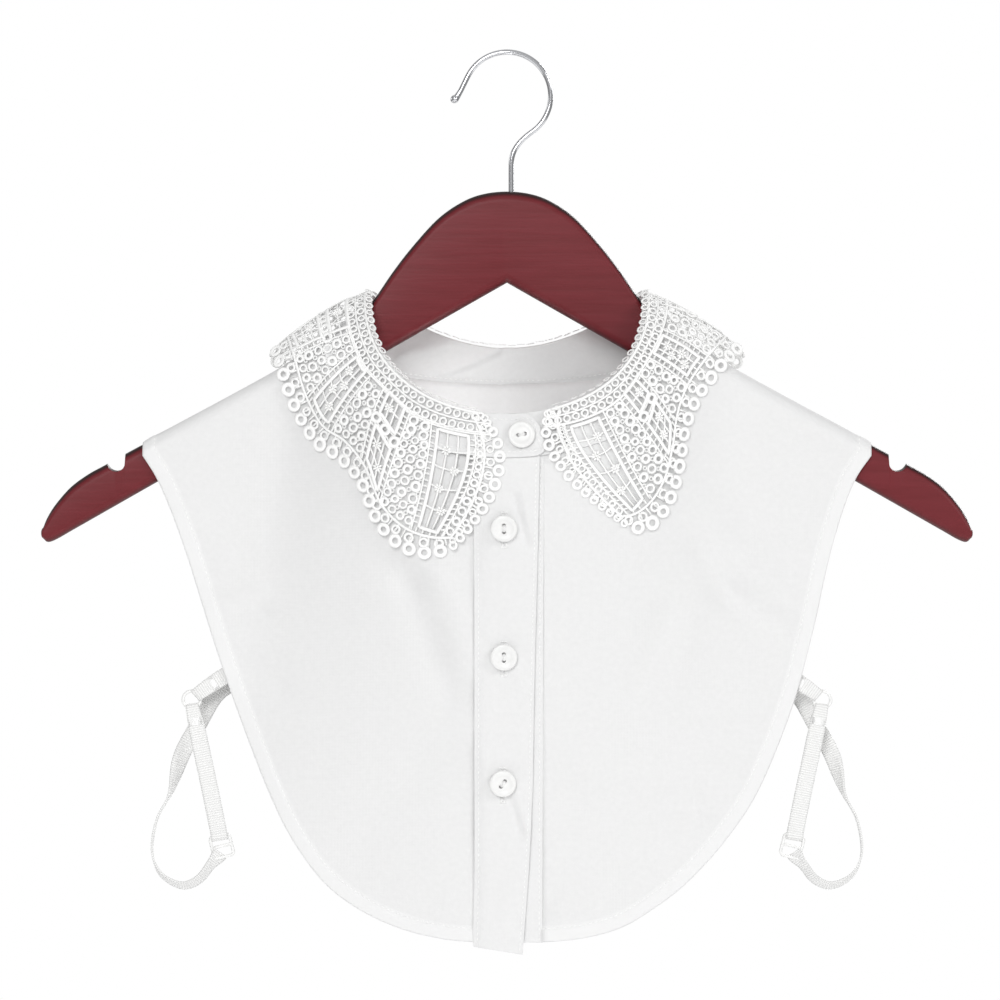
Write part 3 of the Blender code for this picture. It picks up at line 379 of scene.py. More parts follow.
def cloth_depth(x, z, is_front):
    """How far in front of (-) or behind (+) the hanger's middle plane the cloth hangs."""
    bulge, drop, folds, way = (
        (FRONT_BULGE, SEAM_FRONT_DROP, FRONT_FOLDS, -1) if is_front else (BACK_BULGE, SEAM_BACK_DROP, BACK_FOLDS, 1)
    )
    neck = SEAM_SIDE_HEIGHT - drop
    down = np.clip((neck - z) / (neck - HEM_HEIGHT), 0, 1)
    keep = BULGE_AT_HEM + (1 - BULGE_AT_HEM) * (1 - down) ** BULGE_FADE
    spread = BULGE_REACH_NECK + (BULGE_REACH_HEM - BULGE_REACH_NECK) * down
    inward = 1 - (x / spread) ** 2
    crown = (0.5 * (inward + np.sqrt(inward**2 + CROWN_SOFT))) ** CROWN_ROUND
    return way * (ARM_STAND_OFF + bulge * keep * crown + fold_out(folds, x, z))


def hem_curve(side, inset, edge):
    """The outline from the centre to the shoulder tip, as many (reach, height) points, and the length passed."""
    points = []
    for height, left, right in HEM_ROWS:
        reach = left if side == LEFT else right
        rise = inset if reach < HEM_CENTER_REACH else 0.0
        points.append((max(edge, reach - inset), height + rise))
    points[0] = (edge, points[0][1])
    points[-1] = (SHOULDER_TIP, float(shoulder_line(SHOULDER_TIP)) - SHOULDER_WRAP)
    curve = smooth_curve(points, 12)
    passed = np.concatenate([[0], np.cumsum(np.linalg.norm(np.diff(curve, axis=0), axis=1))])
    return curve, passed


def uneven(length):
    """A slow wander, so that repeated puckers aren't alike."""
    return 1.3 * np.sin(length / 17) + 0.8 * np.sin(length / 41 + 1)


def half_bib(side, inset, edge, is_front):
    """One side of the bib, from its centre edge out over the shoulder: places, flat places, layer marks and the
    line of the hem's stitches."""
    shares = np.linspace(0, 1, FAN_COLUMNS + 1)[:, None]
    edge_turn = math.degrees(math.asin(edge / SEAM_REACH)) * SEAM_FLAT_TURN / 90
    angle = np.radians((edge_turn + (SEAM_FLAT_TURN - edge_turn) * shares) / SEAM_FLAT_TURN * 90)
    drop = SEAM_FRONT_DROP if is_front else SEAM_BACK_DROP
    neck_x, neck_z = SEAM_REACH * np.sin(angle), SEAM_SIDE_HEIGHT - drop * np.cos(angle)
    curve, passed = hem_curve(side, inset, edge)
    along = shares * passed[-1]
    hem_x = np.interp(along, passed, curve[:, 0])
    hem_z = np.interp(along, passed, curve[:, 1])
    lengths = np.hypot(hem_x - neck_x, hem_z - neck_z)
    slope_x, slope_z = np.gradient(hem_x[:, 0]), np.gradient(hem_z[:, 0])
    square = ((hem_x - neck_x)[:, 0] * slope_z - (hem_z - neck_z)[:, 0] * slope_x) / np.hypot(slope_x, slope_z)
    square = np.abs(square)[:, None]
    zone = HEM_ZONE / square
    field = np.linspace(0, 1, FIELD_ROWS + 1)[None, :-1] * (1 - zone)
    band = 1 - zone + np.linspace(0, 1, HEM_ZONE_ROWS + 1)[None, :] * zone
    down = np.concatenate([field, band], axis=1)
    from_edge = (1 - down) * square
    x = neck_x + (hem_x - neck_x) * down
    z = neck_z + (hem_z - neck_z) * down
    tip_height = float(shoulder_line(SHOULDER_TIP)) - SHOULDER_WRAP
    straight = SEAM_SIDE_HEIGHT + (tip_height - SEAM_SIDE_HEIGHT) * down
    z = z + (shoulder_line(x) - SHOULDER_WRAP - straight) * shares**SHOULDER_CROWDING
    y = cloth_depth(side * x, z, is_front)
    out = np.stack([0 * x, np.sign(y), 0 * x], axis=2)
    # over the arm
    over = np.radians(90 * (1 - np.arange(1, WRAP_COLUMNS + 1) / WRAP_COLUMNS))[:, None]
    wrap_x = np.repeat(x[-1:], WRAP_COLUMNS, axis=0)
    low = shoulder_line(wrap_x) - SHOULDER_WRAP
    wrap_y = cloth_depth(side * wrap_x, low, is_front) * np.sin(over)
    seam_dip = 0.35 * np.exp(-((np.degrees(over) / 9) ** 2))
    wrap_z = low + SHOULDER_WRAP * np.cos(over) - seam_dip
    way = -1 if is_front else 1
    wrap_out = np.stack([0 * wrap_x, way * np.sin(over) + 0 * wrap_x, np.cos(over) + 0 * wrap_x], axis=2)
    x, y, z = np.vstack([x, wrap_x]), np.vstack([y, wrap_y]), np.vstack([z, wrap_z])
    out = np.concatenate([out, wrap_out])
    from_edge = np.vstack([from_edge, np.repeat(from_edge[-1:], WRAP_COLUMNS, axis=0)])
    hem_along = np.concatenate([along[:, 0], along[-1, 0] + 1.2 * np.arange(1, WRAP_COLUMNS + 1)])[:, None]
    # creases and the hem's own relief
    fade = np.concatenate([1 - shares**8, np.zeros((WRAP_COLUMNS, 1))])
    stand_out = fade * fold_out(FRONT_CREASES if is_front else BACK_CREASES, side * x, z)
    stand_out += fade * 0.35 * np.sin(x / 19 + z / 47 + side) * np.sin(z / 31 - x / 83)
    layered = np.clip((HEM_WIDTH + 0.5 - from_edge) / 0.9, 0, 1)
    layered = layered * layered * (3 - 2 * layered)
    stand_out += 0.4 * layered - 0.45 * np.exp(-(((from_edge - HEM_STITCH) / 0.7) ** 2))
    stand_out -= 0.2 * np.exp(-((from_edge / 0.7) ** 2))
    pucker = np.sin(math.tau * hem_along / 7.5 + uneven(hem_along))
    stand_out += 0.2 * pucker * np.exp(-(((from_edge - HEM_STITCH) / 4.5) ** 2))
    stand_out += 0.5 * np.sin(hem_along / 13 + uneven(hem_along / 2)) * np.exp(-from_edge / 14)
    places = np.stack([side * x, y, z], axis=2) + out * stand_out[:, :, None]
    flat = np.stack([side * (x + np.abs(hem_along - hem_along[FAN_COLUMNS]) * (hem_along > hem_along[FAN_COLUMNS])),
                     z], axis=2)
    stitch_row = np.argmin(np.abs(from_edge[0] - HEM_STITCH))
    stitch_line = places[:, stitch_row] + out[:, stitch_row] * (LAWN_WALL / 2)
    return places, flat, layered, (stitch_line, out[:, stitch_row])


def cloth_wall(piece, thickness):
    wall = piece.modifiers.new("wall", "SOLIDIFY")
    wall.thickness = thickness * MM
    wall.offset = 0.0
    return piece


# Cotton lawn: a fine plain weave, washed and pressed. It gives the eye a matte near-white with a faint grain of
# threads, whiter where a hem or band has two or three layers. The threads are drawn 0.7 mm apart, as coarse as
# they need to be to show. Real ones are about 0.3 mm apart.
THREAD_PITCH = 0.0007
WAVE_PERIOD = math.tau / 20
cotton_lawn, tree, shader = new_finish("white_cotton_lawn")
flat_place = add_node(tree, "ShaderNodeUVMap", uv_map="flat")
warp = add_node(tree, "ShaderNodeTexWave", {"Vector": flat_place.outputs[0], "Scale": WAVE_PERIOD / THREAD_PITCH,
                                            "Distortion": 1.5, "Detail": 2.0, "Detail Scale": 2.0},
                bands_direction="X")
weft = add_node(tree, "ShaderNodeTexWave", {"Vector": flat_place.outputs[0], "Scale": WAVE_PERIOD / THREAD_PITCH,
                                            "Distortion": 1.5, "Detail": 2.0, "Detail Scale": 2.0},
                bands_direction="Y")
weave = add_node(tree, "ShaderNodeMath", {0: warp.outputs["Fac"], 1: weft.outputs["Fac"]}, operation="MULTIPLY")
slubs = add_node(tree, "ShaderNodeTexNoise", {"Vector": flat_place.outputs[0], "Scale": 420.0, "Detail": 4.0})
rumple = add_node(tree, "ShaderNodeTexNoise", {"Vector": flat_place.outputs[0], "Scale": 42.0, "Detail": 3.0})
layers = add_node(tree, "ShaderNodeAttribute", attribute_name="mark")
ground = add_node(tree, "ShaderNodeMix", {0: slubs.outputs["Fac"], 6: linear("DFDFDF"), 7: linear("E7E7E7")},
                  data_type="RGBA")
white = add_node(tree, "ShaderNodeMix", {0: layers.outputs["Fac"], 6: ground.outputs[2], 7: linear("E8E8E8")},
                 data_type="RGBA")
tree.links.new(white.outputs[2], shader.inputs["Base Color"])
soft = add_node(tree, "ShaderNodeBump", {"Height": rumple.outputs["Fac"], "Strength": 0.25, "Distance": 0.0012})
threads = add_node(tree, "ShaderNodeBump", {"Height": weave.outputs[0], "Strength": 0.22, "Distance": 0.00025,
                                            "Normal": soft.outputs[0]})
tree.links.new(threads.outputs[0], shader.inputs["Normal"])
shader.inputs["Roughness"].default_value = 0.85
shader.inputs["Specular IOR Level"].default_value = 0.25
shader.inputs["Sheen Weight"].default_value = 0.15

stitch_lines = []


def front(name, side, edge, solid, area):
    places, flat, layered, stitches = half_bib(side, 0.0, edge, True)
    stitch_lines.append(stitches)
    bm = bmesh.new()
    formed_grid(bm, places, flat, layered)
    piece = cloth_wall(finished(name, bm, cotton_lawn, "lawn", solid), LAWN_WALL)


front("front_panel_left", LEFT, LEFT_FRONT_EDGE, "front_left", 0.0302)
front("front_panel_right", RIGHT, RIGHT_FRONT_EDGE, "front_right", 0.0302)

bm = bmesh.new()
halves = [half_bib(side, BACK_INSET, 0.0, False) for side in (LEFT, RIGHT)]
back_places, back_flat, back_layers = (np.concatenate([halves[0][i][:0:-1], halves[1][i]]) for i in range(3))
stitch_lines += [half[3] for half in halves]
formed_grid(bm, back_places, back_flat, back_layers)
back = cloth_wall(finished("back_panel", bm, cotton_lawn, "lawn", "back"), LAWN_WALL)


# Placket. Two long bands of the same lawn folded double down the centre front: the top one, on the photo's left
# front, laps over the under one. Each is topstitched near both edges and the top one has upright buttonholes.
PLACKET_STEP = 1.9
PLACKET_LAYER = 0.8
PLACKET_COLUMNS = 22
PLACKET_ROWS = 130
PLACKET_TOP = -185.5
PLACKET_TUCK = 1.4
PLACKET_TUCK_HEIGHT = -189.0
# Each row: height, left edge, right edge
TOP_PLACKET_ROWS = [(-191, -15.8, 15.2), (-250, -15.4, 14.0), (-300, -15.4, 12.8), (-345, -15.4, 12.2),
                    (-385, -15.4, 10.4), (-426, -16.2, 7.4)]
UNDER_PLACKET_ROWS = [(-191, -12.0, 17.2), (-300, -12.0, 17.0), (-426, -12.0, 16.8)]
# Creases beside the buttons and where the lap hangs free
PLACKET_CREASES = [(3.4, -206, 9.4, -230, 1.9, -1.2), (7.0, -206, 12.4, -228, 1.9, 0.9), (-2, -206, -9, -214, 2.4, -0.5),
                   (1.4, -350, 6.6, -368, 2.2, -1.2), (4.8, -350, 10.0, -368, 2.2, 0.8),
                   (-8, -272, -3, -277, 2.2, 0.5), (5, -291, 9, -300, 2.6, 0.5), (-11, -330, -9, -352, 3, 0.4),
                   (3, -388, -2, -408, 3.5, 0.6), (-7, -240, -10, -262, 3, -0.4)]


def placket_place(x, z, rows, is_top):
    """The placket's surface. The top band is sewn flat along the photo's left and lies over the under band."""
    heights = [row[0] for row in rows][::-1]
    left = np.interp(z, heights, [row[1] for row in rows][::-1])
    right = np.interp(z, heights, [row[2] for row in rows][::-1])
    across = (x - left) / (right - left)
    lift = 0.45 + 0.0 * x
    if is_top:
        lift = 0.75 + (PLACKET_STEP - 0.75) * np.clip((across - 0.03) / 0.2, 0, 1) ** 0.7
        lift = lift + fold_out(PLACKET_CREASES, x, z) + 0.18 * np.sin(z / 6.1 + uneven(z)) * np.abs(2 * across - 1) ** 3
    seams = np.exp(-(((x - left - 2.0) / 0.6) ** 2)) + np.exp(-(((right - x - 1.6) / 0.6) ** 2))
    lift = lift - 0.28 * seams * (1 if is_top else 0.5)
    lift = lift - PLACKET_TUCK * np.clip((z - PLACKET_TUCK_HEIGHT) / 1.5, 0, 1)
    return cloth_depth(x, z, True) - lift


def folded_edges(piece):
    rounding = piece.modifiers.new("folded edges", "BEVEL")
    rounding.width = 0.3 * MM
    rounding.segments = 2
    rounding.limit_method = "ANGLE"
    rounding.angle_limit = math.radians(60)


def placket(name, rows, slant, is_top, solid):
    """One band, its lower end cut at a slant, with rounded folds along both edges."""
    heights = [row[0] for row in rows][::-1]
    share = np.linspace(0, 1, PLACKET_COLUMNS + 1)[:, None]
    share = 0.5 - 0.5 * np.cos(share * math.pi)
    down = np.linspace(0, 1, PLACKET_ROWS + 1)[None, :]
    bottom = slant[0] + (slant[1] - slant[0]) * share
    z = PLACKET_TOP + (bottom - PLACKET_TOP) * down
    left = np.interp(z, heights, [row[1] for row in rows][::-1])
    right = np.interp(z, heights, [row[2] for row in rows][::-1])
    x = left + (right - left) * share
    y = placket_place(x, z, rows, is_top)
    layers = np.full(x.shape, 0.1)
    bm = bmesh.new()
    formed_grid(bm, np.stack([x, y, z], axis=2), np.stack([x, z], axis=2), layers)
    piece = cloth_wall(finished(name, bm, cotton_lawn, "lawn", solid), PLACKET_LAYER)
    folded_edges(piece)


placket("placket_under_band", UNDER_PLACKET_ROWS, (-419.8, -419.8), False, "placket_under")
placket("placket_top_band", TOP_PLACKET_ROWS, (-421.6, -425.4), True, "placket_top")


def placket_line(rows, from_left, from_right, is_top, low):
    """A line of stitches down a placket: places on its outer face and the way out."""
    z = np.linspace(-191, low, 140)
    heights = [row[0] for row in rows][::-1]
    if from_left is not None:
        x = np.interp(z, heights, [row[1] for row in rows][::-1]) + from_left
    else:
        x = np.interp(z, heights, [row[2] for row in rows][::-1]) - from_right
    y = placket_place(x, z, rows, is_top) - PLACKET_LAYER / 2
    return np.stack([x, y, z], axis=1), np.tile([0.0, -1.0, 0.0], (len(z), 1))


stitch_lines.append(placket_line(TOP_PLACKET_ROWS, 2.0, None, True, -421))
stitch_lines.append(placket_line(TOP_PLACKET_ROWS, None, 1.6, True, -423))
stitch_lines.append(placket_line(UNDER_PLACKET_ROWS, None, 1.6, False, -419))


# Collar stand. A narrow band of lawn, double and interfaced, sewn round the neck. Its rounded end buttons over in
# front, and the lace is sewn to its upper edge and turns down over it.
FOLD_REACH = 64.0
FOLD_SIDE_HEIGHT = -113.5
FOLD_FRONT_DROP = 55.0
FOLD_BACK_DROP = 26.0
FOLD_FRONT_DEPTH = 40.0
FOLD_BACK_DEPTH = 28.0
STAND_TOP_END = -12.0
STAND_UNDER_END = 368.5
STAND_SEAM_GAP = 1.2
STAND_CORNER = 5.0
STAND_ROUND_END = 7.0
STAND_LAYER = 1.1
STAND_COLUMNS = 330
STAND_ROWS = 16
LAP_TURN = 24.0
LAP_FADE = 12.0
# Diagonal creases of the stand behind the neck: turn, up from the seam, to turn, up, width in turns, out
STAND_CREASES = [(160, 0.25, 175, 0.95, 2.2, -1.4), (166, 0.2, 181, 0.9, 2.2, 0.3), (141, 0.4, 154, 0.8, 2.5, -1.2),
                 (196, 0.3, 206, 0.8, 3.5, 0.3), (214, 0.7, 226, 0.4, 3.0, -0.9), (132, 0.4, 142, 0.8, 4.0, 0.3)]


def seam_point(turn, side):
    """The neck seam at a turn in degrees from the centre front. Past SEAM_FLAT_TURN it lies over the arm."""
    is_front = turn <= 90
    from_center = turn if is_front else 180 - turn
    drop = SEAM_FRONT_DROP if is_front else SEAM_BACK_DROP
    if from_center <= SEAM_FLAT_TURN:
        angle = math.radians(from_center / SEAM_FLAT_TURN * 90)
        x = side * SEAM_REACH * math.sin(angle)
        z = SEAM_SIDE_HEIGHT - drop * math.cos(angle)
        return np.array([x, float(cloth_depth(x, z, is_front)), z])
    over = math.radians((90 - from_center) / (90 - SEAM_FLAT_TURN) * 90)
    out = float(cloth_depth(side * SEAM_REACH, SEAM_SIDE_HEIGHT, is_front))
    z = SEAM_SIDE_HEIGHT + SHOULDER_WRAP * math.cos(over)
    return np.array([side * SEAM_REACH, out * math.sin(over), z])


def fold_point(turn, side):
    """The top edge of the stand, where the lace turns over."""
    level = abs(math.cos(math.radians(turn)))
    x = side * FOLD_REACH * math.sin(math.radians(turn))
    if turn <= 90:
        return np.array([x, -FOLD_FRONT_DEPTH * level**0.5, FOLD_SIDE_HEIGHT - FOLD_FRONT_DROP * level**0.85])
    return np.array([x, FOLD_BACK_DEPTH * level**0.5, FOLD_SIDE_HEIGHT - FOLD_BACK_DROP * level**2])


def ring_place(turn):
    """(turn from the front, side) for a turn that runs the whole way round from the photo's left."""
    if turn < 0:
        return -turn, RIGHT
    if turn <= 180:
        return turn, LEFT
    if turn <= 360:
        return 360 - turn, RIGHT
    return turn - 360, LEFT


def lap_lift(turn):
    """How far the stand's top lap stands in front of the under lap."""
    return PLACKET_STEP * min(1.0, max(0.0, (LAP_TURN - turn) / LAP_FADE))


def stand_ends(turn):
    """The lower and upper ends of the stand's middle surface at a turn."""
    from_front, side = ring_place(turn)
    low, high = seam_point(from_front, side), fold_point(from_front, side)
    length = np.linalg.norm(high - low)
    corner = STAND_CORNER * max(0.0, 1 - (turn - STAND_TOP_END) / STAND_CORNER) ** 2
    run = high - low
    low = low + run * STAND_SEAM_GAP / length
    high = high - run * corner / length
    low[1] -= lap_lift(turn)
    high[1] -= lap_lift(turn)
    return low, high


def stand_turns():
    """Turns at even distances round the neck."""
    ticks = np.linspace(STAND_TOP_END, STAND_UNDER_END, 600)
    middles = np.array([sum(stand_ends(turn)) / 2 for turn in ticks])
    passed = np.concatenate([[0], np.cumsum(np.linalg.norm(np.diff(middles, axis=0), axis=1))])
    return np.interp(np.linspace(0, passed[-1], STAND_COLUMNS + 1), passed, ticks), passed[-1]


turns, stand_length = stand_turns()
ends = np.array([stand_ends(turn) for turn in turns])
ups = np.linspace(0, 1, STAND_ROWS + 1)
# the top lap's end is rounded, and the seam allowance tucks the lower edge over the panels
from_end = np.linspace(0, stand_length, STAND_COLUMNS + 1)
bite = STAND_ROUND_END - np.sqrt(np.maximum(0, STAND_ROUND_END**2 - np.maximum(0, STAND_ROUND_END - from_end) ** 2))
heights = np.linalg.norm(ends[:, 1] - ends[:, 0], axis=1)
low_share = (bite * 0.75 - STAND_SEAM_GAP - 0.8) / heights
high_share = 1 - bite * 0.3 / heights
shares = low_share[:, None] + (high_share - low_share)[:, None] * ups[None, :]
stand_places = ends[:, None, 0] + (ends[:, 1] - ends[:, 0])[:, None] * shares[:, :, None]
out_ward = np.cross(np.gradient(ends.mean(axis=1), axis=0), ends[:, 1] - ends[:, 0])
out_ward /= np.linalg.norm(out_ward, axis=1)[:, None]
if out_ward[len(turns) // 2, 1] < 0:
    out_ward = -out_ward
stand_relief = fold_out([(a, b * 20, c, d * 20, w, o) for a, b, c, d, w, o in STAND_CREASES],
                        turns[:, None] + 0 * shares, shares * 20)
stand_relief -= 0.3 * np.exp(-(((shares * heights[:, None] - 2.4) / 0.6) ** 2))
stand_relief += 0.45 * np.clip(1 - shares * heights[:, None] / 1.5, 0, 1)
stand_places = stand_places + out_ward[:, None] * stand_relief[:, :, None]
stand_flat = np.stack([np.repeat(from_end[:, None], STAND_ROWS + 1, axis=1), shares * heights[:, None]], axis=2)
bm = bmesh.new()
formed_grid(bm, stand_places, stand_flat)
stand = cloth_wall(finished("collar_stand_band", bm, cotton_lawn, "lawn", "collar_stand"), STAND_LAYER)
folded_edges(stand)

for up_row, face, way in ((2, 1, 1), (2, -1, -1)):
    line = stand_places[3:-2, up_row] + out_ward[3:-2] * (way * STAND_LAYER / 2)
    stitch_lines.append((line, out_ward[3:-2] * way))
# along the rounded end
end_line = np.concatenate([stand_places[5:2:-1, 2], stand_places[2, 2:-2], stand_places[3:30, -3]])
stitch_lines.append((end_line + out_ward[2] * STAND_LAYER / 2, np.tile(out_ward[2], (len(end_line), 1))))


# Stitching. White polyester sewing thread in running lines along the hem, the plackets and the stand, each stitch
# pulled a little into the cloth at both ends, with satin-stitched buttonholes.
STITCH_PITCH = 2.5
STITCH_LENGTH = 1.9
STITCH_THICK = 0.42
THREAD_RADIUS = 0.2


def sew(bm, line, out):
    """Lays short threads end to end along a line."""
    passed = np.concatenate([[0], np.cumsum(np.linalg.norm(np.diff(line, axis=0), axis=1))])
    for middle in np.arange(STITCH_PITCH / 2, passed[-1], STITCH_PITCH):
        place, before, after = (
            Vector([np.interp(middle + step, passed, line[:, axis]) for axis in range(3)])
            for step in (0, -STITCH_LENGTH / 2, STITCH_LENGTH / 2)
        )
        along = (after - before).normalized()
        normal = Vector([np.interp(middle, passed, out[:, axis]) for axis in range(3)]).normalized()
        across = normal.cross(along).normalized()
        normal = along.cross(across)
        turned = Matrix((along, across, normal)).transposed().to_4x4()
        size = Matrix.Diagonal((STITCH_LENGTH / 2, STITCH_THICK / 2, STITCH_THICK / 2, 1.0))
        where = Matrix.Translation(place * MM) @ turned @ Matrix.Scale(MM, 4) @ size
        bmesh.ops.create_icosphere(bm, subdivisions=1, radius=1.0, matrix=where)


# Spun polyester thread: brighter than the cloth, with a slight sheen and a twist too fine to show.
sewing_thread, tree, shader = new_finish("white_polyester_thread")
where = add_node(tree, "ShaderNodeTexCoord")
twist = add_node(tree, "ShaderNodeTexNoise", {"Vector": where.outputs["Object"], "Scale": 2600.0, "Detail": 2.0})
tint = add_node(tree, "ShaderNodeMix", {0: twist.outputs["Fac"], 6: linear("F1F1F0"), 7: linear("FBFBFB")},
                data_type="RGBA")
tree.links.new(tint.outputs[2], shader.inputs["Base Color"])
plies = add_node(tree, "ShaderNodeBump", {"Height": twist.outputs["Fac"], "Strength": 0.3, "Distance": 0.0001})
tree.links.new(plies.outputs[0], shader.inputs["Normal"])
shader.inputs["Roughness"].default_value = 0.6
shader.inputs["Sheen Weight"].default_value = 0.2

bm = bmesh.new()
for line, out in stitch_lines:
    sew(bm, line, out)
finished("running_stitches", bm, sewing_thread, "lawn")


# Lace collar. Two halves of guipure lace, cotton threads stitched into rings, bars and barred windows on a ground
# that is washed away. Each is sewn to the stand's upper edge, turns down over it and meets its twin behind.
LACE_CLEARANCE = 1.05
LACE_FOLD_CLEARANCE = 2.8
ARM_CLEARANCE = 10.5
LACE_FRONT_LIFT = 7.8
LACE_SIDE_LIFT = 6.6
LACE_TURN_OVER = 0.38
LACE_FRONT_OUT = 1.3
LACE_RISE = 0.1
LACE_SIDE_RISE = 0.5
LACE_STEEPEST = 2.5
LACE_SLOPE_STEP = 1.5
ARM_FADE_TURN = 14.0
EDGE_FADE_TURN = 10.0
OVER_ARM_TURN = 6.0
PLACKET_HALF = 30.0
PLACKET_FADE = 8.0
LACE_COLUMNS = 130
LACE_ROWS = 22
LIP_ROWS = 4
LIP_SHARE = 0.07
# Each row of the outer edge: turn round the neck, reach, height, how far the row bends sideways
LACE_FRONT = {
    LEFT: [(11.5, 27, -233, -38), (20, 38, -237, -22), (30, 50.5, -234, -9), (40, 61.5, -223, -2), (49, 69, -205, 1),
           (56, 79.5, -193, 2), (63, 92, -185, 2), (69.5, 102.5, -169, 0), (78, 109.7, -149.5, 0)],
    RIGHT: [(17.5, 57, -222, -34), (26, 66, -225, -20), (35, 74, -220, -9), (43, 80, -209, -3), (50, 83.5, -194, 0),
            (57, 86, -179, 0), (65, 91, -166, 0), (72, 99.5, -154, 0), (80, 107.5, -145, 0)],
}
LACE_BACK = [(90, 113, -141, 0), (104, 112, -147.5, 0), (118, 102, -166, 0), (133, 83, -184, 0), (149, 58, -196, 0),
             (165, 29, -203, 0), (180, 0, -205, 0)]


def smaller(a, b, soft):
    """The smaller of two, rounded where they are close."""
    mix = min(1.0, max(0.0, 0.5 + 0.5 * (b - a) / soft))
    return b + (a - b) * mix - soft * mix * (1 - mix)


def stand_lines(side, is_front):
    """The stand's lower and upper edges over a quarter of the neck."""
    if is_front and side == LEFT:
        quarter = np.linspace(STAND_TOP_END, SEAM_FLAT_TURN, 40)
    elif is_front:
        quarter = np.linspace(STAND_UNDER_END, 360 - SEAM_FLAT_TURN, 40)
    else:
        quarter = np.linspace(180 + side * SEAM_FLAT_TURN, 180, 30)
    both = np.array([stand_ends(turn) for turn in quarter])
    return both[:, 0], both[:, 1]


STAND_LINES = {(side, front): stand_lines(side, front) for side in (LEFT, RIGHT) for front in (True, False)}


def under_lace(side, x, z, is_front):
    """How far out the stand, placket or panel under the lace reaches at this place."""
    low, high = STAND_LINES[side, is_front]
    way = -1 if is_front else 1
    reach = side * x
    out = 0.0
    lap = PLACKET_STEP * min(1.0, max(0.0, (PLACKET_HALF - reach) / PLACKET_FADE))
    up = (z - low[:, 2]) / (high[:, 2] - low[:, 2])
    inside = (up > -0.15) & (up < 1.05)
    if inside.sum() > 1:
        across = side * (low[:, 0] + (high[:, 0] - low[:, 0]) * up)[inside]
        outward = way * (low[:, 1] + (high[:, 1] - low[:, 1]) * up)[inside]
        order = np.argsort(across)
        if across[order[0]] <= reach <= across[order[-1]]:
            out = float(np.interp(reach, across[order], outward[order]))
            if is_front and side == RIGHT:
                out += lap
    seam_height = np.interp(reach, side * low[:, 0], low[:, 2])
    if reach > SEAM_REACH:
        seam_height = shoulder_line(reach)
    if z < seam_height:
        cloth = abs(float(cloth_depth(x, z, is_front)))
        if is_front and side == LEFT:
            cloth += lap
        if reach > SEAM_REACH:
            below = min(1.0, max(0.0, float(shoulder_line(reach) - z) / SHOULDER_WRAP))
            cloth *= math.sqrt(1 - (1 - below) ** 2)
        out = max(out, cloth)
    return out


def lace_rest(side, x, z, is_front):
    """The depth at which the lace's middle surface lies just clear of what is under it."""
    step = LACE_SLOPE_STEP
    run_x = under_lace(side, x + step, z, is_front) - under_lace(side, x - step, z, is_front)
    run_z = under_lace(side, x, z + step, is_front) - under_lace(side, x, z - step, is_front)
    steepness = min(LACE_STEEPEST, math.sqrt(1 + (run_x / (2 * step)) ** 2 + (run_z / (2 * step)) ** 2))
    return under_lace(side, x, z, is_front) + LACE_CLEARANCE * steepness


def lace_column(side, row, shares):
    """The lace from the fold out to its edge, at one row of the table."""
    turn, reach, height, sway = row
    turn = min(180.0, turn)
    is_front = turn <= 90
    way = -1 if is_front else 1
    past = abs(90 - turn)
    over_arm = ARM_CLEARANCE * min(1.0, past / ARM_FADE_TURN)
    lie = max(lace_rest(side, side * reach, height, is_front), over_arm) * min(1.0, past / EDGE_FADE_TURN)
    edge_place = np.array([side * reach, way * lie, height])
    across, forward = math.sin(math.radians(turn)), math.cos(math.radians(turn))
    out = np.array([side * across, -forward * LACE_FRONT_OUT, LACE_RISE + LACE_SIDE_RISE * across])
    out /= np.linalg.norm(out)
    top = fold_point(turn, side)
    start = top + out * LACE_FOLD_CLEARANCE
    if side == LEFT and turn < 90:
        start[1] -= lap_lift(turn)
        top[1] -= lap_lift(turn)
    lift = LACE_FRONT_LIFT + (LACE_SIDE_LIFT - LACE_FRONT_LIFT) * across
    middle = start + (edge_place - start) * LACE_TURN_OVER + out * lift
    middle[0] += side * sway
    column = []
    for share in shares:
        if share < 0:  # the lip that turns over the stand's upper edge
            back = -share / LIP_SHARE
            inner = top - out * 0.9 + np.array([0, 0, -0.6])
            crest = (start + top) / 2 + np.array([0, 0, 3.0])
            column.append(start * (1 - back) ** 2 + 2 * crest * back * (1 - back) + inner * back**2)
            continue
        place = start * (1 - share) ** 2 + 2 * middle * share * (1 - share) + edge_place * share**2
        if past > OVER_ARM_TURN:
            rest = lace_rest(side, place[0], place[2], is_front)
            place[1] = way * -smaller(-way * place[1], -rest, 2.0) if way > 0 else smaller(place[1], -rest, 2.0)
        column.append(place)
    return column


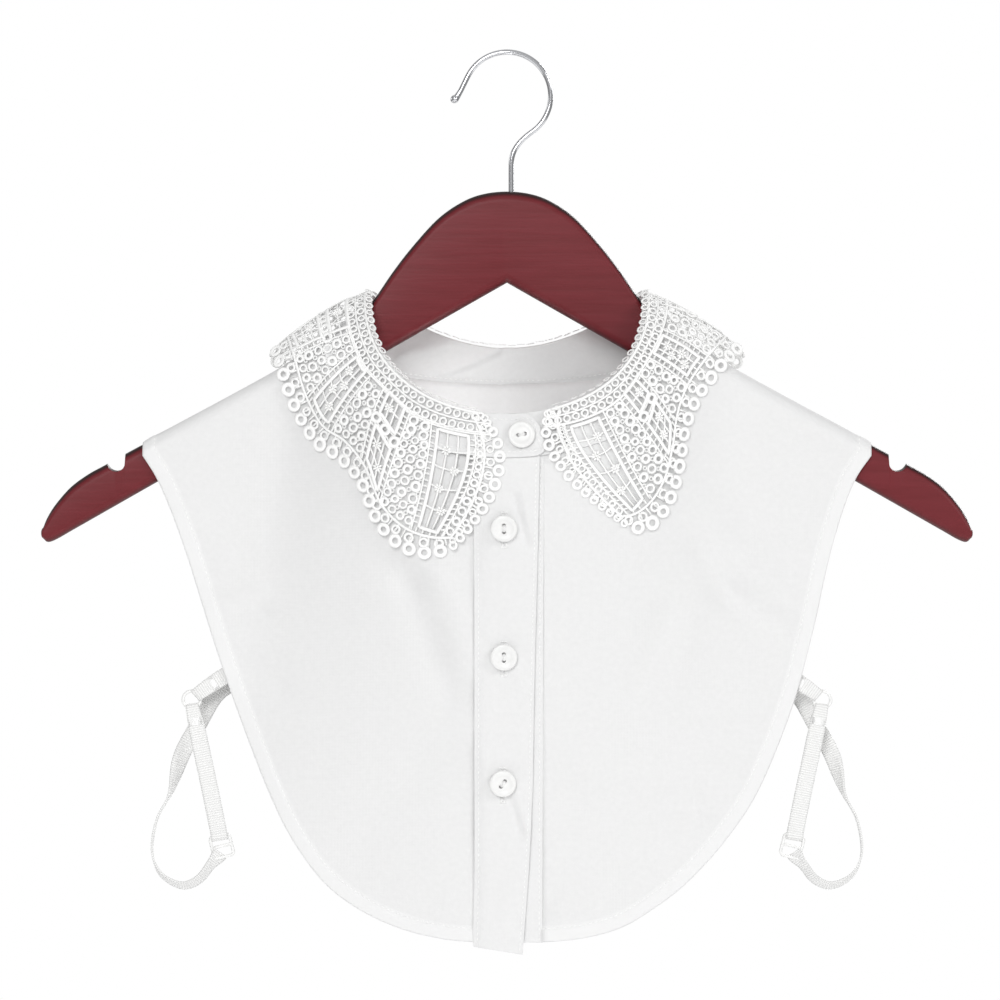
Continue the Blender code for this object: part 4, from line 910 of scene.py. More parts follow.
class LaceGround:
    """The curved ground of one half, which turns a place in the pattern into a place in space. s runs along the
    collar from its front edge to the centre back and v from the fold to the outer edge, both from 0 to 1."""

    def __init__(self, side):
        rows = LACE_FRONT[side] + LACE_BACK
        table = smooth_curve(rows, 8)
        middles = np.array([lace_column(side, row, [0.7])[0] for row in table])
        passed = np.concatenate([[0], np.cumsum(np.linalg.norm(np.diff(middles, axis=0), axis=1))])
        self.s = np.linspace(0, 1, LACE_COLUMNS + 1)
        self.v = np.concatenate([np.linspace(-LIP_SHARE, 0, LIP_ROWS + 1)[:-1], np.linspace(0, 1, LACE_ROWS + 1)])
        spaced = np.array([np.interp(self.s * passed[-1], passed, table[:, i]) for i in range(4)]).T
        self.places = np.array([lace_column(side, row, self.v) for row in spaced])
        run_s = np.gradient(self.places, self.s, axis=0)
        run_v = np.gradient(self.places, self.v, axis=1)
        out = np.cross(run_s, run_v)
        out /= np.linalg.norm(out, axis=2)[:, :, None] + 1e-9
        facing = np.sign((out * np.array([0.0, 1.0, 0.0]) * np.sign(self.places[:, :, 1:2])).sum())
        self.out = out * facing
        self.width = np.linalg.norm(run_s, axis=2)
        self.length = np.linalg.norm(run_v, axis=2)

    def read(self, grid, s, v):
        """A grid's value between its corners."""
        s, v = np.atleast_1d(s).astype(float), np.atleast_1d(v).astype(float)
        s, v = np.broadcast_arrays(np.clip(s, 0, 1), np.clip(v, -LIP_SHARE, 1))
        column = np.clip(np.searchsorted(self.s, s) - 1, 0, len(self.s) - 2)
        row = np.clip(np.searchsorted(self.v, v) - 1, 0, len(self.v) - 2)
        part_s = (s - self.s[column]) / (self.s[column + 1] - self.s[column])
        part_v = (v - self.v[row]) / (self.v[row + 1] - self.v[row])
        if grid.ndim == 3:
            part_s, part_v = part_s[:, None], part_v[:, None]
        near = grid[column, row] * (1 - part_v) + grid[column, row + 1] * part_v
        far = grid[column + 1, row] * (1 - part_v) + grid[column + 1, row + 1] * part_v
        return near * (1 - part_s) + far * part_s

    def place(self, s, v, off=0.0):
        return self.read(self.places, s, v) + self.facing(s, v) * off

    def facing(self, s, v):
        out = self.read(self.out, s, v)
        return out / (np.linalg.norm(out, axis=1)[:, None] + 1e-9)


REPEATS = 7
RIB_SHARE = 0.36
WHOLE = REPEATS + RIB_SHARE
WINDOW_TOP = 0.2
LADDER = 3.3
FRAME_THREAD = 0.85
CORD_THREAD = 0.68
BAR_THREAD = 0.52
BORDER_RING = 3.6
BORDER_IN = 3.65
BORDER_PITCH = 7.7
SECOND_RING = 2.6
SECOND_IN = 8.6
CORD_IN = 12.0
RIB_RING = 2.7
HEAD_ROWS = [(-1.4, 2.1, 0.5), (3.3, 2.1, 0.0), (8.1, 2.1, 0.5)]
HEAD_CORDS = [(0.9, 0.7), (5.7, 0.5), (10.5, 0.5)]
RIB_FRONT_WIDTH = 16.0
RIB_SPREAD = 0.2
KNOT_RING = 1.2
# Each kind of repeat, from the windows' top to their bottom: where a window starts and ends, and its rows of panes
WINDOW_KINDS = [[(0.06, 1.0, 5)], [(0.0, 0.36, 2), (0.54, 1.0, 3)]]
PANES = 3
hand = np.random.default_rng(11)


def ring_mesh(sides, steps, hole):
    """A flat padded ring of outer radius 1, its hole the given share of that."""
    bm = bmesh.new()
    band = (1 - hole) / 2
    bmesh.ops.create_circle(bm, segments=sides, radius=band)
    bmesh.ops.rotate(bm, verts=bm.verts, cent=(0, 0, 0), matrix=Matrix.Rotation(math.radians(90), 3, "X"))
    bmesh.ops.scale(bm, vec=(1, 1, 0.32), verts=bm.verts)
    bmesh.ops.translate(bm, vec=(1 - band, 0, 0), verts=bm.verts)
    bmesh.ops.spin(bm, geom=bm.verts[:] + bm.edges[:], cent=(0, 0, 0), axis=(0, 0, 1), angle=math.tau, steps=steps,
                   use_merge=True)
    bmesh.ops.remove_doubles(bm, verts=bm.verts, dist=0.001)
    mesh = bpy.data.meshes.new("ring_shape")
    bm.to_mesh(mesh)
    bm.free()
    return mesh


def add_copy(bm, mesh, matrix):
    copy = mesh.copy()
    copy.transform(matrix)
    bm.from_mesh(copy)
    bpy.data.meshes.remove(copy)


def facing_matrix(place, out, size):
    turned = Vector(out).to_track_quat("Z", "Y").to_matrix().to_4x4()
    return Matrix.Translation(Vector(place) * MM) @ turned @ Matrix.Scale(size * MM, 4)


def thread(bm, ground, s, v, radius, off=0.0, closed=False, sides=5):
    """One stitched thread along a line of the pattern."""
    path = ground.place(s, v, off)
    formed_grid(bm, tube(path, radius, sides, ground.facing(s, v), flat=0.36, closed=closed))


def ladder(bm, ground, one, other, pitch):
    """Short bars between two lines of the pattern, each line given as its s and v."""
    one, other = (np.array(np.broadcast_arrays(*line)).T for line in (one, other))
    middles = ground.place(*((one + other) / 2).T)
    passed = np.concatenate([[0], np.cumsum(np.linalg.norm(np.diff(middles, axis=0), axis=1))])
    count = max(1, int(round(passed[-1] / pitch)))
    for index in range(count):
        at = (index + 0.5 + hand.uniform(-0.1, 0.1)) / count * passed[-1]
        ends = [[np.interp(at, passed, line[:, axis]) for axis in (0, 1)] for line in (one, other)]
        share = np.linspace(0, 1, 3)[:, None]
        bar = np.array(ends[0]) * (1 - share) + np.array(ends[1]) * share
        thread(bm, ground, bar[:, 0], bar[:, 1], BAR_THREAD, sides=4)


def edge_share(ground, s, inset):
    """The v that lies so far in from the outer edge."""
    return 1 - inset / ground.read(ground.length, s, 0.93)


def front_scale(ground, v):
    """The pattern's scale along the front edge, where it narrows toward the neck."""
    return np.clip(RIB_SHARE / WHOLE * ground.read(ground.width, 0.03, v) / RIB_FRONT_WIDTH, 0.5, 1.0)


def border_line(ground, inset):
    """A line that keeps its distance from the front and outer edges: s, v, and the pattern's scale along it. Along
    the front edge the pattern narrows toward the neck."""
    v = np.linspace(0.02, 1, 60)
    narrow = front_scale(ground, v)
    down_s = inset * narrow / ground.read(ground.width, 0.0, v)
    s = np.linspace(0, 1, 300)
    along_v = edge_share(ground, s, inset)
    corner_s, corner_v = down_s[-1], along_v[0]
    keep_v, keep_s = v < corner_v, s > corner_s
    line_s = np.concatenate([down_s[keep_v], [corner_s], s[keep_s]])
    line_v = np.concatenate([v[keep_v], [corner_v], along_v[keep_s]])
    scale = np.concatenate([narrow[keep_v], [1.0], np.ones(keep_s.sum())])
    return line_s, line_v, scale


def spaced(ground, line, pitch, phase):
    """Places along a line at an even pitch, closer where the pattern is smaller."""
    line_s, line_v, scale = line
    places = ground.place(line_s, line_v)
    steps = np.linalg.norm(np.diff(places, axis=0), axis=1) / ((scale[1:] + scale[:-1]) / 2)
    passed = np.concatenate([[0], np.cumsum(steps)])
    count = int(round(passed[-1] / pitch))
    at = (np.arange(count) + phase) * passed[-1] / count
    at = at[at <= passed[-1]]
    return [np.interp(at, passed, line_part) for line_part in (line_s, line_v, scale)]


def add_ring(bm, ground, s, v, radius, shape):
    off = hand.uniform(-0.15, 0.15)
    matrix = facing_matrix(ground.place(s, v, off)[0], ground.facing(s, v)[0], radius * hand.uniform(0.96, 1.04))
    lean = Matrix.Rotation(hand.uniform(-0.12, 0.12), 4, "X") @ Matrix.Diagonal((1, hand.uniform(0.94, 1.06), 1, 1))
    add_copy(bm, shape, matrix @ lean)


def lace_border(bm, ground):
    """Two rows of rings round the front and outer edges, and the cord inside them."""
    for s, v, scale in zip(*spaced(ground, border_line(ground, BORDER_IN), BORDER_PITCH, 0.5)):
        add_ring(bm, ground, s, v, BORDER_RING * scale, fat_ring)
    for s, v, scale in zip(*spaced(ground, border_line(ground, SECOND_IN), BORDER_PITCH * 0.965, 0.0)):
        add_ring(bm, ground, s, v, SECOND_RING * scale, thin_ring)
    cord_s, cord_v, scale = border_line(ground, CORD_IN)
    thread(bm, ground, cord_s[::2], cord_v[::2], CORD_THREAD, 0.1)
    foot_s, foot_v, scale = border_line(ground, BORDER_IN + BORDER_RING - 0.5)
    feet = ground.place(foot_s, foot_v)
    for s, v, scale in zip(*spaced(ground, (cord_s, cord_v, np.ones(len(cord_s))), BORDER_PITCH / 2, 0.25)):
        near = np.argmin(np.linalg.norm(feet - ground.place(s, v), axis=1))
        thread(bm, ground, np.linspace(s, foot_s[near], 3), np.linspace(v, foot_v[near], 3), BAR_THREAD, sides=4)


def lace_head(bm, ground):
    """The rows between the fold and the windows, and the loops that turn over the stand's edge."""
    deep = float(ground.read(ground.length, 0.5, 0.1)[0])
    s = np.linspace(0.006, 1, 260)
    for inset, radius, phase in HEAD_ROWS:
        line = (s, np.full(len(s), inset / deep), np.ones(len(s)))
        for at_s, at_v, scale in zip(*spaced(ground, line, 2 * radius + 0.3, phase)):
            add_ring(bm, ground, at_s, at_v, radius, thin_ring)
    for inset, radius in HEAD_CORDS:
        thread(bm, ground, s[::2], np.full(130, inset / deep), radius, 0.1)
    ladder(bm, ground, (s, np.full(len(s), HEAD_CORDS[-1][0] / deep)), (s, np.full(len(s), WINDOW_TOP)), 2.9)
    thread(bm, ground, s[5::3], np.full(len(s[5::3]), WINDOW_TOP), 0.5, 0.1)


def rib_edges(ground, repeat, v):
    """Where a rib starts and ends at v. Ribs spread toward the outer edge, and the first starts at the cord that
    runs along the front edge."""
    v = np.atleast_1d(v)
    spread = RIB_SPREAD / 2 * np.clip((v - WINDOW_TOP) / (1 - WINDOW_TOP), 0, 1)
    start = (repeat - spread) / WHOLE
    if not repeat:
        start = CORD_IN * front_scale(ground, v) / ground.read(ground.width, 0.0, v)
    return start, np.minimum((repeat + RIB_SHARE + spread) / WHOLE, 0.9995)


def lace_rib(bm, ground, repeat):
    """The columns of rings between two windows, knotted where four meet, with a cord along each side."""
    middle = float(np.mean(rib_edges(ground, repeat, 0.6)))
    bottom = float(edge_share(ground, middle, CORD_IN)[0])
    line = np.linspace(WINDOW_TOP, bottom, 24)
    for side_s in rib_edges(ground, repeat, line):
        thread(bm, ground, side_s, line, 0.5, 0.1)
    deep = float(ground.read(ground.length, middle, 0.7)[0])
    v, row, knots = bottom - (RIB_RING + 0.5) / deep, 0, None
    while v > WINDOW_TOP + 2.5 / deep:
        from_s, to_s = (float(edge[0]) for edge in rib_edges(ground, repeat, v))
        width = (to_s - from_s) * float(ground.read(ground.width, middle, v)[0]) - 0.9
        count = max(1, int(width / 4.5))
        radius = min(RIB_RING, width / count / 2)
        for index in range(count):
            at_s = from_s + (to_s - from_s) * (index + 0.5) / count
            add_ring(bm, ground, at_s, v, radius, fat_ring if (row + index) % 2 else thin_ring)
        step = (2 * radius + 0.3) / deep
        for index in range(0, count + 1):
            at_s = from_s + (to_s - from_s) * np.clip(index / count, 0.06, 0.94)
            add_ring(bm, ground, at_s, v - step / 2, KNOT_RING, thin_ring)
        v -= step
        row += 1


def lace_window(bm, ground, repeat, start, stop, rows):
    """A padded frame, barred inside, with small flowers where bars cross, and ladders down both sides."""

    def at(across, down):
        """A place in the window as s and v. across and down run from 0 to 1."""
        plain = (repeat + RIB_SHARE + (1 - RIB_SHARE) * across) / WHOLE
        bottom = edge_share(ground, plain, CORD_IN + LADDER)
        v = WINDOW_TOP + (bottom - WINDOW_TOP) * (start + (stop - start) * down)
        from_s, to_s = rib_edges(ground, repeat, v)[1], rib_edges(ground, repeat + 1, v)[0]
        inset = LADDER / ground.read(ground.width, plain, v)
        inset = np.minimum(inset, (to_s - from_s) * 0.3)
        return from_s + inset + (to_s - from_s - 2 * inset) * across, v

    run = np.linspace(0, 1, 13)
    sides = [(run, 0 * run + 1e-6), (0 * run + 1, run), (run[::-1], 0 * run + 1), (0 * run, run[::-1])]
    s, v = (np.concatenate([at(*side)[i][:-1] for side in sides]) for i in (0, 1))
    thread(bm, ground, s, v, FRAME_THREAD, 0.25, closed=True, sides=6)
    for across in (0, 1):
        line_s, line_v = at(0 * run + across, run)
        edge = rib_edges(ground, repeat + across, line_v)[1 - across]
        ladder(bm, ground, (line_s, line_v), (edge, line_v), 3.0)
    for pane in range(1, PANES):
        line_s, line_v = at(0 * run + pane / PANES, run)
        thread(bm, ground, line_s, line_v, BAR_THREAD + 0.06, sides=4)
    for row in range(1, rows):
        sag = 0.02 * np.sin(run * math.pi)
        line_s, line_v = at(run, row / rows + sag)
        thread(bm, ground, line_s, line_v, BAR_THREAD, sides=4)
    for pane in range(1, PANES):
        for row in range(1, rows):
            if (pane + row) % 2:
                spot_s, spot_v = at(np.array([pane / PANES]), np.array([row / rows + 0.02]))
                matrix = facing_matrix(ground.place(spot_s, spot_v, 0.2)[0], ground.facing(spot_s, spot_v)[0], 1.0)
                for petal in range(9):
                    turn = math.tau * petal / 8 + 0.4
                    reach = 0.0 if petal == 8 else 1.6
                    spot = Matrix.Translation((reach * math.cos(turn), reach * math.sin(turn), 0))
                    size = Matrix.Rotation(turn, 4, "Z") @ Matrix.Diagonal((1.0, 0.58, 0.5, 1))
                    add_copy(bm, petal_shape, matrix @ spot @ size)


def lace_repeat(bm, ground, repeat):
    """One rib and the windows beside it, with a row of rings where two windows stand above each other."""
    lace_rib(bm, ground, repeat)
    from_s, to_s = (repeat + RIB_SHARE) / WHOLE, (repeat + 1) / WHOLE
    kind = WINDOW_KINDS[repeat % 2]
    across = np.linspace(from_s, to_s, 13)
    bottom = edge_share(ground, across, CORD_IN + LADDER)
    for start, stop, rows in kind:
        lace_window(bm, ground, repeat, start, stop, rows)
    ladder(bm, ground, (across, bottom), (across, edge_share(ground, across, CORD_IN)), 3.4)
    for (_, above, _), (below, _, _) in zip(kind, kind[1:]):
        rows_v = [WINDOW_TOP + (bottom - WINDOW_TOP) * share for share in (above, (above + below) / 2, below)]
        middle_v = float(rows_v[1].mean())
        width = (to_s - from_s) * float(ground.read(ground.width, (from_s + to_s) / 2, middle_v)[0])
        count = max(1, int(width / 6.2))
        for index in range(count):
            place = (index + 0.5) / count
            ring_v = float(np.interp(place, np.linspace(0, 1, 13), rows_v[1]))
            add_ring(bm, ground, from_s + (to_s - from_s) * place, ring_v, min(3.0, width / count / 2), fat_ring)
        for share in (0.24, 0.76):
            line = rows_v[0] * (1 - share) + rows_v[2] * share
            thread(bm, ground, across, line, 0.45, sides=4)
        near, far = (rows_v[0] * (1 - share) + rows_v[2] * share for share in (0.24, 0.76))
        ladder(bm, ground, (across, rows_v[0]), (across, near), 3.0)
        ladder(bm, ground, (across, far), (across, rows_v[2]), 3.0)


# Guipure lace: cotton thread built up by stitching. It gives the eye a bright matte white with fuzzy ridged edges.
# The stitches that cross each thread are drawn about 0.5 mm apart, coarser than the real 0.2 mm.
guipure, tree, shader = new_finish("white_guipure_cotton")
where = add_node(tree, "ShaderNodeTexCoord")
stitches = add_node(tree, "ShaderNodeTexNoise", {"Vector": where.outputs["Object"], "Scale": 1900.0, "Detail": 3.0})
fuzz = add_node(tree, "ShaderNodeTexNoise", {"Vector": where.outputs["Object"], "Scale": 700.0, "Detail": 3.0})
cotton = add_node(tree, "ShaderNodeMix", {0: fuzz.outputs["Fac"], 6: linear("F8F8F7"), 7: linear("FEFEFD")},
                  data_type="RGBA")
tree.links.new(cotton.outputs[2], shader.inputs["Base Color"])
lumps = add_node(tree, "ShaderNodeBump", {"Height": fuzz.outputs["Fac"], "Strength": 0.25, "Distance": 0.0005})
ridges = add_node(tree, "ShaderNodeBump", {"Height": stitches.outputs["Fac"], "Strength": 0.35, "Distance": 0.0003,
                                           "Normal": lumps.outputs[0]})
tree.links.new(ridges.outputs[0], shader.inputs["Normal"])
shader.inputs["Roughness"].default_value = 0.9
shader.inputs["Specular IOR Level"].default_value = 0.15
shader.inputs["Sheen Weight"].default_value = 0.6
shader.inputs["Sheen Roughness"].default_value = 0.6

fat_ring = ring_mesh(6, 14, 0.38)
thin_ring = ring_mesh(5, 12, 0.46)
petal_bm = bmesh.new()
bmesh.ops.create_icosphere(petal_bm, subdivisions=1, radius=1.0)
petal_shape = bpy.data.meshes.new("petal_shape")
petal_bm.to_mesh(petal_shape)
petal_bm.free()

for side, word in ((LEFT, "left"), (RIGHT, "right")):
    ground = LaceGround(side)
    bm = bmesh.new()
    lace_border(bm, ground)
    lace_head(bm, ground)
    for repeat in range(REPEATS):
        lace_repeat(bm, ground, repeat)
    lace_rib(bm, ground, REPEATS)
    lace_half = finished("lace_half_" + word, bm, guipure, "lace", "lace_" + word)
for shape in (fat_ring, thin_ring, petal_shape):
    bpy.data.meshes.remove(shape)


# Buttons. Four 20-line shirt buttons cast in white polyester, each with a raised rim and two holes, sewn on with a
# few strands of thread through the holes.
BUTTON_RADIUS = 6.35
BUTTON_STEPS = 48
BUTTON_STAND_OFF = 1.2
HOLE_RADIUS = 0.95
HOLE_SPREAD = 1.6
PLACKET_WALL = 1.4
STAND_WALL = 1.5
# Each row: radius, how far out
BUTTON_PROFILE = [(0.0, 0.75), (2.6, 0.75), (3.5, 0.85), (4.1, 1.08), (4.7, 1.3), (5.3, 1.35), (5.9, 1.2), (6.25, 0.88),
                  (BUTTON_RADIUS, 0.5), (6.2, 0.1), (5.6, -0.3), (4.8, -0.6), (0.0, -0.6)]
# Each row: its solid, reach, height, turn of its holes
BUTTONS = [("button_stand", 6.8, -178.4, 8), ("button_1", -1.4, -221.4, 90), ("button_2", -1.6, -282.6, 90),
           ("button_3", -2.0, -343.0, 55)]


def button_body():
    """The turned body with its two holes drilled through."""
    bm = bmesh.new()
    corners = [bm.verts.new(Vector((radius, 0, out)) * MM) for radius, out in BUTTON_PROFILE]
    edges = [bm.edges.new(pair) for pair in zip(corners, corners[1:])]
    bmesh.ops.spin(bm, geom=corners + edges, cent=(0, 0, 0), axis=(0, 0, 1), angle=math.tau, steps=BUTTON_STEPS,
                   use_merge=True)
    bmesh.ops.remove_doubles(bm, verts=bm.verts, dist=0.01 * MM)
    bmesh.ops.recalc_face_normals(bm, faces=bm.faces)
    body = bpy.data.meshes.new("button_body")
    bm.to_mesh(body)
    bm.free()
    drill = bmesh.new()
    for across in (-HOLE_SPREAD, HOLE_SPREAD):
        bmesh.ops.create_cone(drill, segments=20, radius1=HOLE_RADIUS * MM, radius2=HOLE_RADIUS * MM, depth=6 * MM,
                              cap_ends=True, matrix=Matrix.Translation(Vector((across, 0, 0)) * MM))
    drill_mesh = bpy.data.meshes.new("button_drill")
    drill.to_mesh(drill_mesh)
    drill.free()
    blank, bit = (bpy.data.objects.new("button_blank", body), bpy.data.objects.new("button_bit", drill_mesh))
    for thing in (blank, bit):
        bpy.context.scene.collection.objects.link(thing)
    hole = blank.modifiers.new("holes", "BOOLEAN")
    hole.operation = "DIFFERENCE"
    hole.solver = "EXACT"
    hole.object = bit
    graph = bpy.context.evaluated_depsgraph_get()
    drilled = bpy.data.meshes.new_from_object(blank.evaluated_get(graph))
    for thing in (blank, bit):
        bpy.data.objects.remove(thing)
    return drilled


def button_frame(reach, height, turn):
    """Where a button sits: out from the placket, its holes turned."""
    step = 2.0
    slope_x = float(cloth_depth(reach + step, height, True) - cloth_depth(reach - step, height, True)) / (2 * step)
    slope_z = float(cloth_depth(reach, height + step, True) - cloth_depth(reach, height - step, True)) / (2 * step)
    normal = Vector((slope_x, -1.0, slope_z)).normalized()
    right = Vector((0, 0, 1)).cross(normal).normalized()
    lift = PLACKET_STEP + PLACKET_WALL / 2 + BUTTON_STAND_OFF
    place = Vector((reach, float(cloth_depth(reach, height, True)), height)) + normal * lift
    frame = Matrix((right, normal.cross(right), normal)).transposed().to_4x4()
    return Matrix.Translation(place * MM) @ frame @ Matrix.Rotation(math.radians(turn), 4, "Z")


def stand_button_frame(reach, height, turn):
    """The same for the button on the stand, which leans back from its seam to the fold."""
    at = -math.degrees(math.asin(reach / (0.5 * (SEAM_REACH + FOLD_REACH)))) * SEAM_FLAT_TURN / 90
    low, high = (Vector(end) for end in stand_ends(at))
    share = (height - low.z) / (high.z - low.z)
    after, before = (Vector(a).lerp(Vector(b), share) for a, b in (stand_ends(at + 1), stand_ends(at - 1)))
    right = -(after - before).normalized()
    normal = right.cross((high - low).normalized()).normalized()
    place = low.lerp(high, share) + normal * (STAND_WALL / 2 + BUTTON_STAND_OFF)
    frame = Matrix((right, normal.cross(right), normal)).transposed().to_4x4()
    return Matrix.Translation(place * MM) @ frame @ Matrix.Rotation(math.radians(turn), 4, "Z")


# Cast polyester: a clear hard gloss over a milky white that is a little see-through at the rim.
polyester, tree, shader = new_finish("white_cast_polyester")
where = add_node(tree, "ShaderNodeTexCoord")
cloud = add_node(tree, "ShaderNodeTexNoise", {"Vector": where.outputs["Object"], "Scale": 260.0, "Detail": 2.0})
milk = add_node(tree, "ShaderNodeMix", {0: cloud.outputs["Fac"], 6: linear("E4E4E3"), 7: linear("EFEFEE")},
                data_type="RGBA")
tree.links.new(milk.outputs[2], shader.inputs["Base Color"])
polish = add_node(tree, "ShaderNodeBump", {"Height": cloud.outputs["Fac"], "Strength": 0.05, "Distance": 0.0003})
tree.links.new(polish.outputs[0], shader.inputs["Normal"])
shader.inputs["Roughness"].default_value = 0.38
shader.inputs["IOR"].default_value = 1.52
shader.inputs["Coat Weight"].default_value = 0.15
shader.inputs["Coat Roughness"].default_value = 0.1

drilled = button_body()
threads_bm = bmesh.new()
for solid, reach, height, turn in BUTTONS:
    place_button = stand_button_frame if solid == "button_stand" else button_frame
    frame_at = place_button(reach, height, turn)
    bm = bmesh.new()
    bm.from_mesh(drilled)
    bmesh.ops.transform(bm, matrix=frame_at, verts=bm.verts)
    button = finished(solid + "_cast", bm, polyester, "button", solid)
    button.data.set_sharp_from_angle(angle=math.radians(45))
    # strands through the holes, and the shank behind
    for strand in (-0.45, 0.0, 0.45):
        path = [(-HOLE_SPREAD, strand * 0.5, -0.8), (-HOLE_SPREAD * 0.9, strand, 0.7), (-0.7, strand, 1.02),
                (0.7, strand, 1.02), (HOLE_SPREAD * 0.9, strand, 0.7), (HOLE_SPREAD, strand * 0.5, -0.8)]
        curve = smooth_curve(path, 4)
        before = len(threads_bm.verts)
        formed_grid(threads_bm, tube(curve, 0.2, 5, (0, 1, 0.01)))
        threads_bm.verts.ensure_lookup_table()
        bmesh.ops.transform(threads_bm, matrix=frame_at, verts=threads_bm.verts[before:])
    before = len(threads_bm.verts)
    formed_grid(threads_bm, tube([(0, 0, -2.4), (0, 0, -1.5), (0, 0, -0.5)], 1.7, 10, (0, 1, 0)))
    threads_bm.verts.ensure_lookup_table()
    bmesh.ops.transform(threads_bm, matrix=frame_at, verts=threads_bm.verts[before:])
finished("button_threads", threads_bm, sewing_thread, "button")
bpy.data.meshes.remove(drilled)

# Buttonholes: upright slits on the top band, edged with close zigzag stitches that show above and below a button.
bm = bmesh.new()
for solid, reach, height, turn in BUTTONS[1:]:
    index = np.arange(0, 44, 0.25)
    for way in (-1, 1):
        swing = np.abs(index % 2 - 1)
        x, z = reach + way * (0.35 + 0.95 * swing), height + 6.0 - index * 0.36
        y = placket_place(x, z, TOP_PLACKET_ROWS, True) - PLACKET_LAYER / 2 - 0.12
        formed_grid(bm, tube(np.stack([x, y, z], axis=1), 0.17, 4, (0, 1, 0)))
    index = np.arange(0, 8, 0.25)
    for end in (6.4, -9.9):
        x, z = reach - 1.4 + index * 0.38, height + end + 0.8 * np.abs(index % 2 - 1)
        y = placket_place(x, z, TOP_PLACKET_ROWS, True) - PLACKET_LAYER / 2 - 0.15
        formed_grid(bm, tube(np.stack([x, y, z], axis=1), 0.2, 4, (0, 1, 0)))
finished("buttonhole_stitches", bm, sewing_thread, "lawn")


# Side elastics. On each side a short tab of 8 mm elastic is sewn under the front, a ring joins it to a doubled
# strap with a three-bar slider, and a longer loop comes round from the back. They hold the bib down when worn.
ELASTIC_WIDTH = 8.0
ELASTIC_LAYER = 0.95
RING_RADIUS = 4.1
RING_WIRE = 0.8
SLIDER_WIDTH = 11.0
SLIDER_HEIGHT = 12.0
SLIDER_WIRE = 0.75
# Each row: reach, depth, height, turn of the band's width out of the picture, width
TAB_ROUTE = [(122.0, -6.6, -287.2, 0, 8.0), (128.5, -6.3, -291.0, 0, 8.0), (136.5, -6.3, -295.8, 0, 7.8),
             (142.6, -6.8, -299.8, 0, 7.2), (145.6, -7.0, -301.9, 0, 6.6), (147.4, -6.4, -303.2, 0, 6.2),
             (147.9, -5.2, -303.7, 0, 6.2), (147.2, -4.0, -303.1, 0, 6.2), (145.0, -3.6, -301.6, 0, 6.8),
             (141.0, -4.0, -298.9, 0, 7.4), (136.0, -4.6, -295.5, 0, 7.6)]
STRAP_ROUTE = [(147.2, -4.0, -318.0, 0, 7.4), (148.9, -3.6, -311.4, 0, 6.6), (149.4, -4.2, -308.6, 0, 6.2),
               (149.5, -5.2, -307.8, 0, 6.2), (149.4, -6.5, -308.7, 0, 6.2), (148.8, -6.9, -311.6, 0, 6.8),
               (147.2, -6.5, -319.0, 3, 7.8), (145.4, -6.2, -328.0, 8, 8.0), (141.2, -6.1, -348.0, 0, 8.0),
               (137.6, -6.1, -366.0, 0, 8.0), (137.0, -6.6, -369.2, 0, 8.0), (136.7, -6.4, -371.2, 0, 7.8),
               (136.5, -5.0, -372.4, 0, 7.8)]
LOOP_ROUTE = [(120.0, 6.4, -291.4, 0, 8.0), (126.5, 6.2, -296.0, 0, 8.0), (138.5, 5.4, -304.0, 0, 8.0),
              (147.5, 2.6, -319.0, 14, 8.0), (155.0, 0.6, -333.0, 24, 8.0), (160.2, -1.0, -350.5, 80, 8.0),
              (166.2, -2.4, -362.0, 88, 8.0), (168.8, -3.4, -374.0, 90, 8.0), (168.0, -4.2, -382.6, 96, 8.0),
              (163.6, -4.8, -390.0, 108, 8.0), (154.5, -5.0, -394.3, 118, 8.0), (146.6, -5.2, -391.4, 120, 8.0),
              (141.0, -5.4, -384.6, 122, 7.8), (137.6, -5.2, -380.6, 150, 7.6), (136.4, -4.6, -378.6, 170, 7.6)]
RING_PLACE = (149.7, -5.2, -305.6)
SLIDER_PLACE = (135.6, -5.4, -375.4)
SLIDER_TURN = 14


def elastic_band(name, side, route, steps, *solids):
    """A flat band along its route. Its width lies across the picture and turns out of it by each row's turn."""
    rows = smooth_curve(route, steps)
    path = rows[:, :3]
    ahead = np.gradient(path, axis=0)
    ahead /= np.linalg.norm(ahead, axis=1)[:, None]
    flat = np.cross(ahead, [0.0, 1.0, 0.0])
    # where the band turns over a wire it runs nearly straight out of the picture, so its width keeps its last way
    weight = np.linalg.norm(flat, axis=1)
    for index in range(1, len(flat)):
        if weight[index] < 0.75 or np.dot(flat[index], flat[index - 1]) < 0:
            flat[index] = flat[index - 1] - ahead[index] * np.dot(flat[index - 1], ahead[index])
        flat[index] /= np.linalg.norm(flat[index])
    flat[0] /= np.linalg.norm(flat[0])
    deep = np.cross(ahead, flat)
    turn = np.radians(rows[:, 3])[:, None]
    width = (flat * np.cos(turn) + deep * np.sin(turn)) * rows[:, 4:5]
    across = np.linspace(-0.5, 0.5, 7)
    places = path[:, None] + width[:, None] * across[None, :, None]
    places = places * np.array([side, 1, 1])
    passed = np.concatenate([[0], np.cumsum(np.linalg.norm(np.diff(path, axis=0), axis=1))])
    flat_places = np.stack(np.broadcast_arrays(passed[:, None], (across * ELASTIC_WIDTH)[None, :]), axis=2)
    bm = bmesh.new()
    formed_grid(bm, places, flat_places, np.abs(across)[None, :] * 2 + 0 * passed[:, None])
    return cloth_wall(finished(name, bm, ribbed_elastic, "elastic", *solids), ELASTIC_LAYER)


